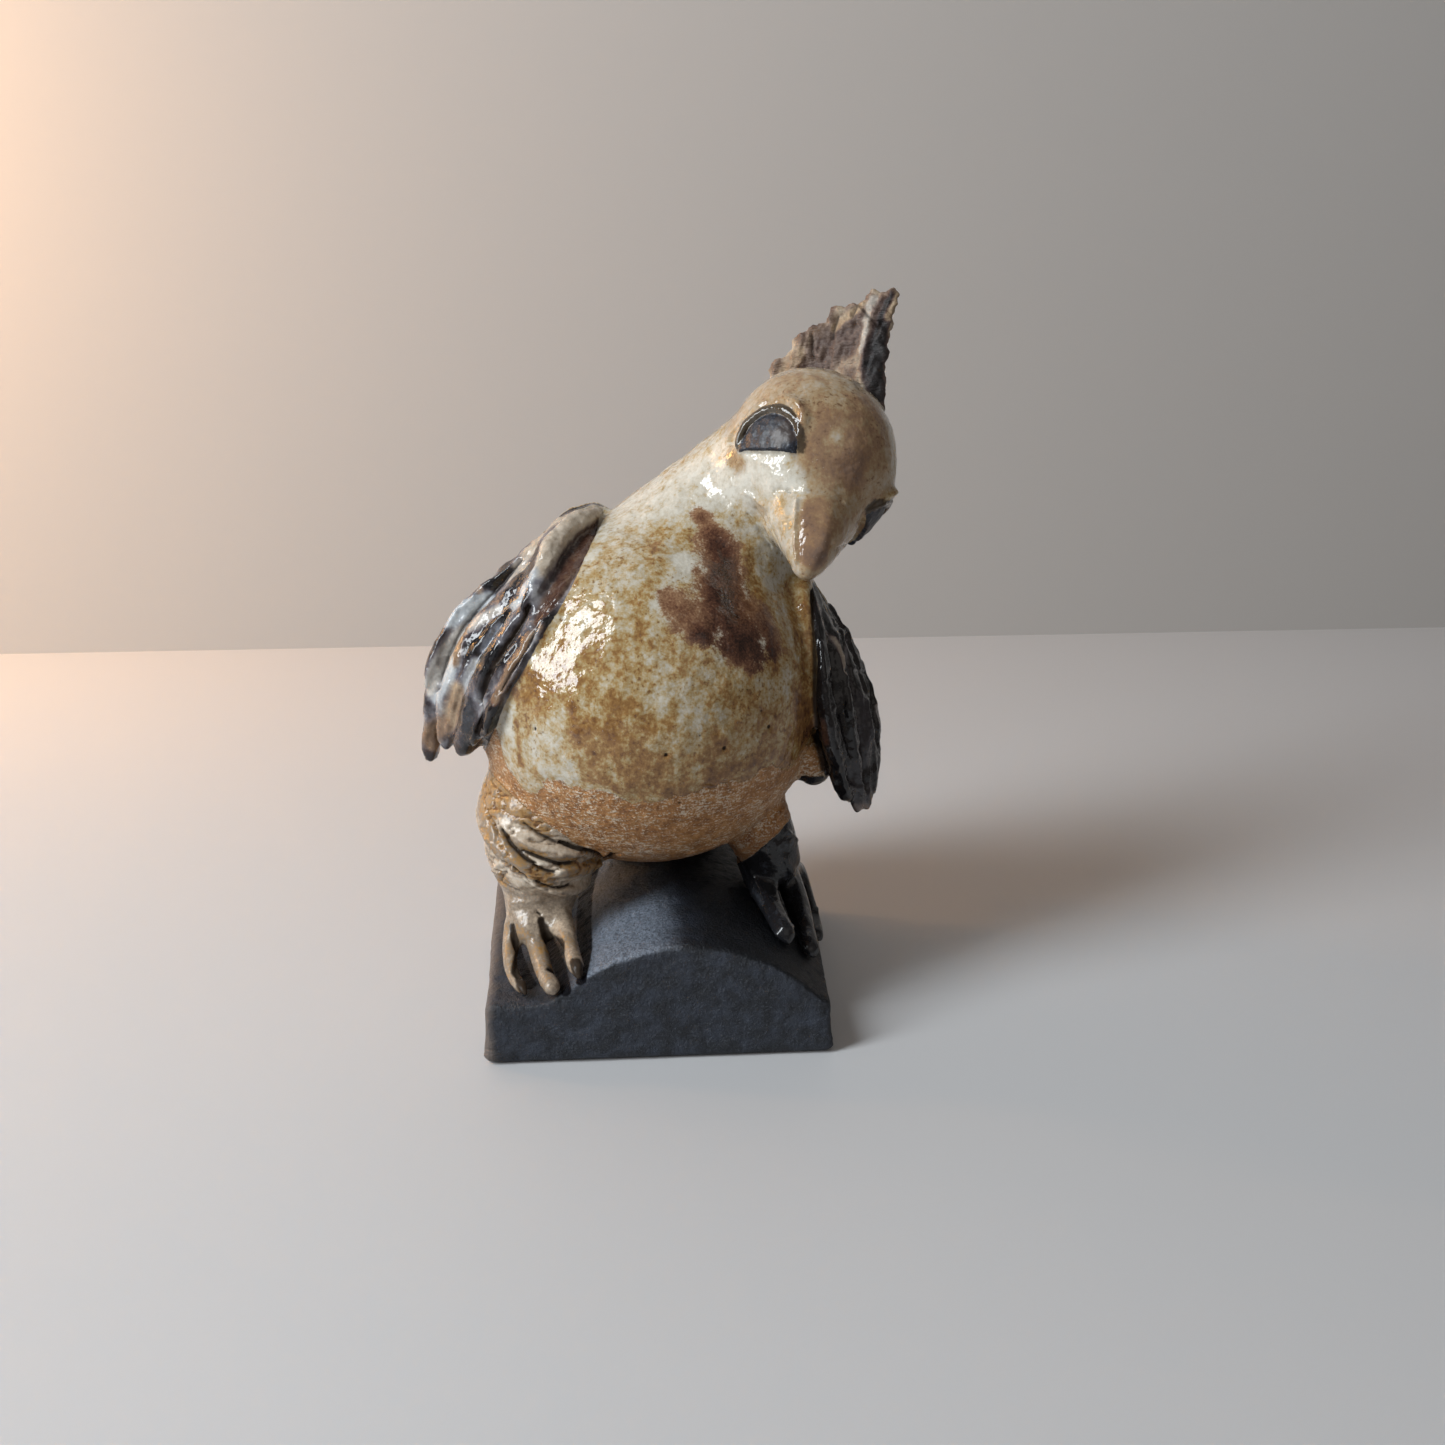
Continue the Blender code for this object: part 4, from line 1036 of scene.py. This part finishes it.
lid = glaze.band(glaze.sum(glaze.mask("lid"), around_half(fine, 0.9)), 0.25, 0.7)
colour = glaze.mix(glaze.times(lid, 0.88), colour, LID_BROWN)
eye = glaze.band(glaze.sum(glaze.mask("eye"), around_half(fine, 0.25)), 0.42, 0.58)
eye_colour = glaze.mix(glaze.band(speckle, 0.50, 0.72), EYE_BLUE, EYE_DUST)
eye_colour = glaze.mix(glaze.band(broad, 0.50, 0.58, 0.0, 0.7), eye_colour, EYE_BROWN)
colour = glaze.mix(eye, colour, eye_colour)
rough = glaze.blend(eye, rough, 0.42)

# painted shade in the creases, gaps, wrinkles and pinholes, and the near-black of the claws
shade_and_claws = glaze.band(glaze.mask("shade_and_claws"), 0.25, 0.8)
colour = glaze.mix(glaze.times(shade_and_claws, 0.93), colour, SHADE_AND_CLAW_BLACK)
shine = glaze.blend(shade_and_claws, 0.5, 0.1)

dry = glaze.sum(bare, crest)
ground = glaze.relief(glaze.times(scratches, dry), 0.5 * MM)
ground = glaze.relief(glaze.cloud(3.2 * MM, 2.0, 0.5), 0.34 * MM, ground)
ground = glaze.relief(glaze.cloud(1.0 * MM, 1.0, 0.5), 0.07 * MM, ground)
glaze.connect(colour, rough, shine, ground)
bird.data.materials.append(glaze.material)

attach(bird, "root")
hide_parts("bird")


# The setting: a plain pale floor and a grey backdrop, lit by a large cool light from the left, a
# small warm one behind the sculpture and a faint one from the front.
FLOOR_PALE = (0.53, 0.53, 0.54)
BACKDROP_GREY = (0.42, 0.41, 0.40)
BACKDROP_PLACE = 0.36
SETTING_SIZE = 6.0
ROOM_COLOUR = (0.68, 0.61, 0.55)
ROOM_STRENGTH = 0.22


def plain_surface(name, colour, roughness, size, location, rotation):
    bpy.ops.object.select_all(action="DESELECT")
    bpy.ops.mesh.primitive_plane_add(size=size, location=location, rotation=rotation)
    plane = bpy.context.active_object
    plane.name = name
    finish = Finish(name, roughness)
    finish.shader.inputs["Base Color"].default_value = (*colour, 1.0)
    plane.data.materials.append(finish.material)


def area_light(name, place, aim, size, watts, colour):
    data = bpy.data.lights.new(name, "AREA")
    data.shape = "RECTANGLE"
    data.size, data.size_y = size
    data.energy = watts
    data.color = colour
    lamp = bpy.data.objects.new(name, data)
    lamp.location = place
    lamp.rotation_euler = (Vector(aim) - Vector(place)).to_track_quat("-Z", "Y").to_euler()
    bpy.context.scene.collection.objects.link(lamp)


plain_surface("floor", FLOOR_PALE, 0.5, SETTING_SIZE, (0, 0, 0), (0, 0, 0))
plain_surface("backdrop", BACKDROP_GREY, 0.9, SETTING_SIZE, (0, BACKDROP_PLACE, 0), (math.pi / 2, 0, 0))
area_light("cool_light", (-0.86, -0.42, 0.78), (0, 0, 0.08), (0.34, 1.05), 19.0, (0.90, 0.96, 1.0))
area_light("warm_glow", (-0.58, 0.20, 0.34), (-0.50, 0.36, 0.30), (0.15, 0.15), 3.4, (1.0, 0.50, 0.16))
area_light("front_light", (0.6, -1.2, 0.9), (0, 0, 0.06), (1.4, 1.0), 1.2, (1.0, 0.94, 0.88))

world = bpy.data.worlds.new("studio")
world.use_nodes = True
world.node_tree.nodes["Background"].inputs["Color"].default_value = (*ROOM_COLOUR, 1.0)
world.node_tree.nodes["Background"].inputs["Strength"].default_value = ROOM_STRENGTH
bpy.context.scene.world = world
bpy.context.scene.view_settings.view_transform = "Standard"
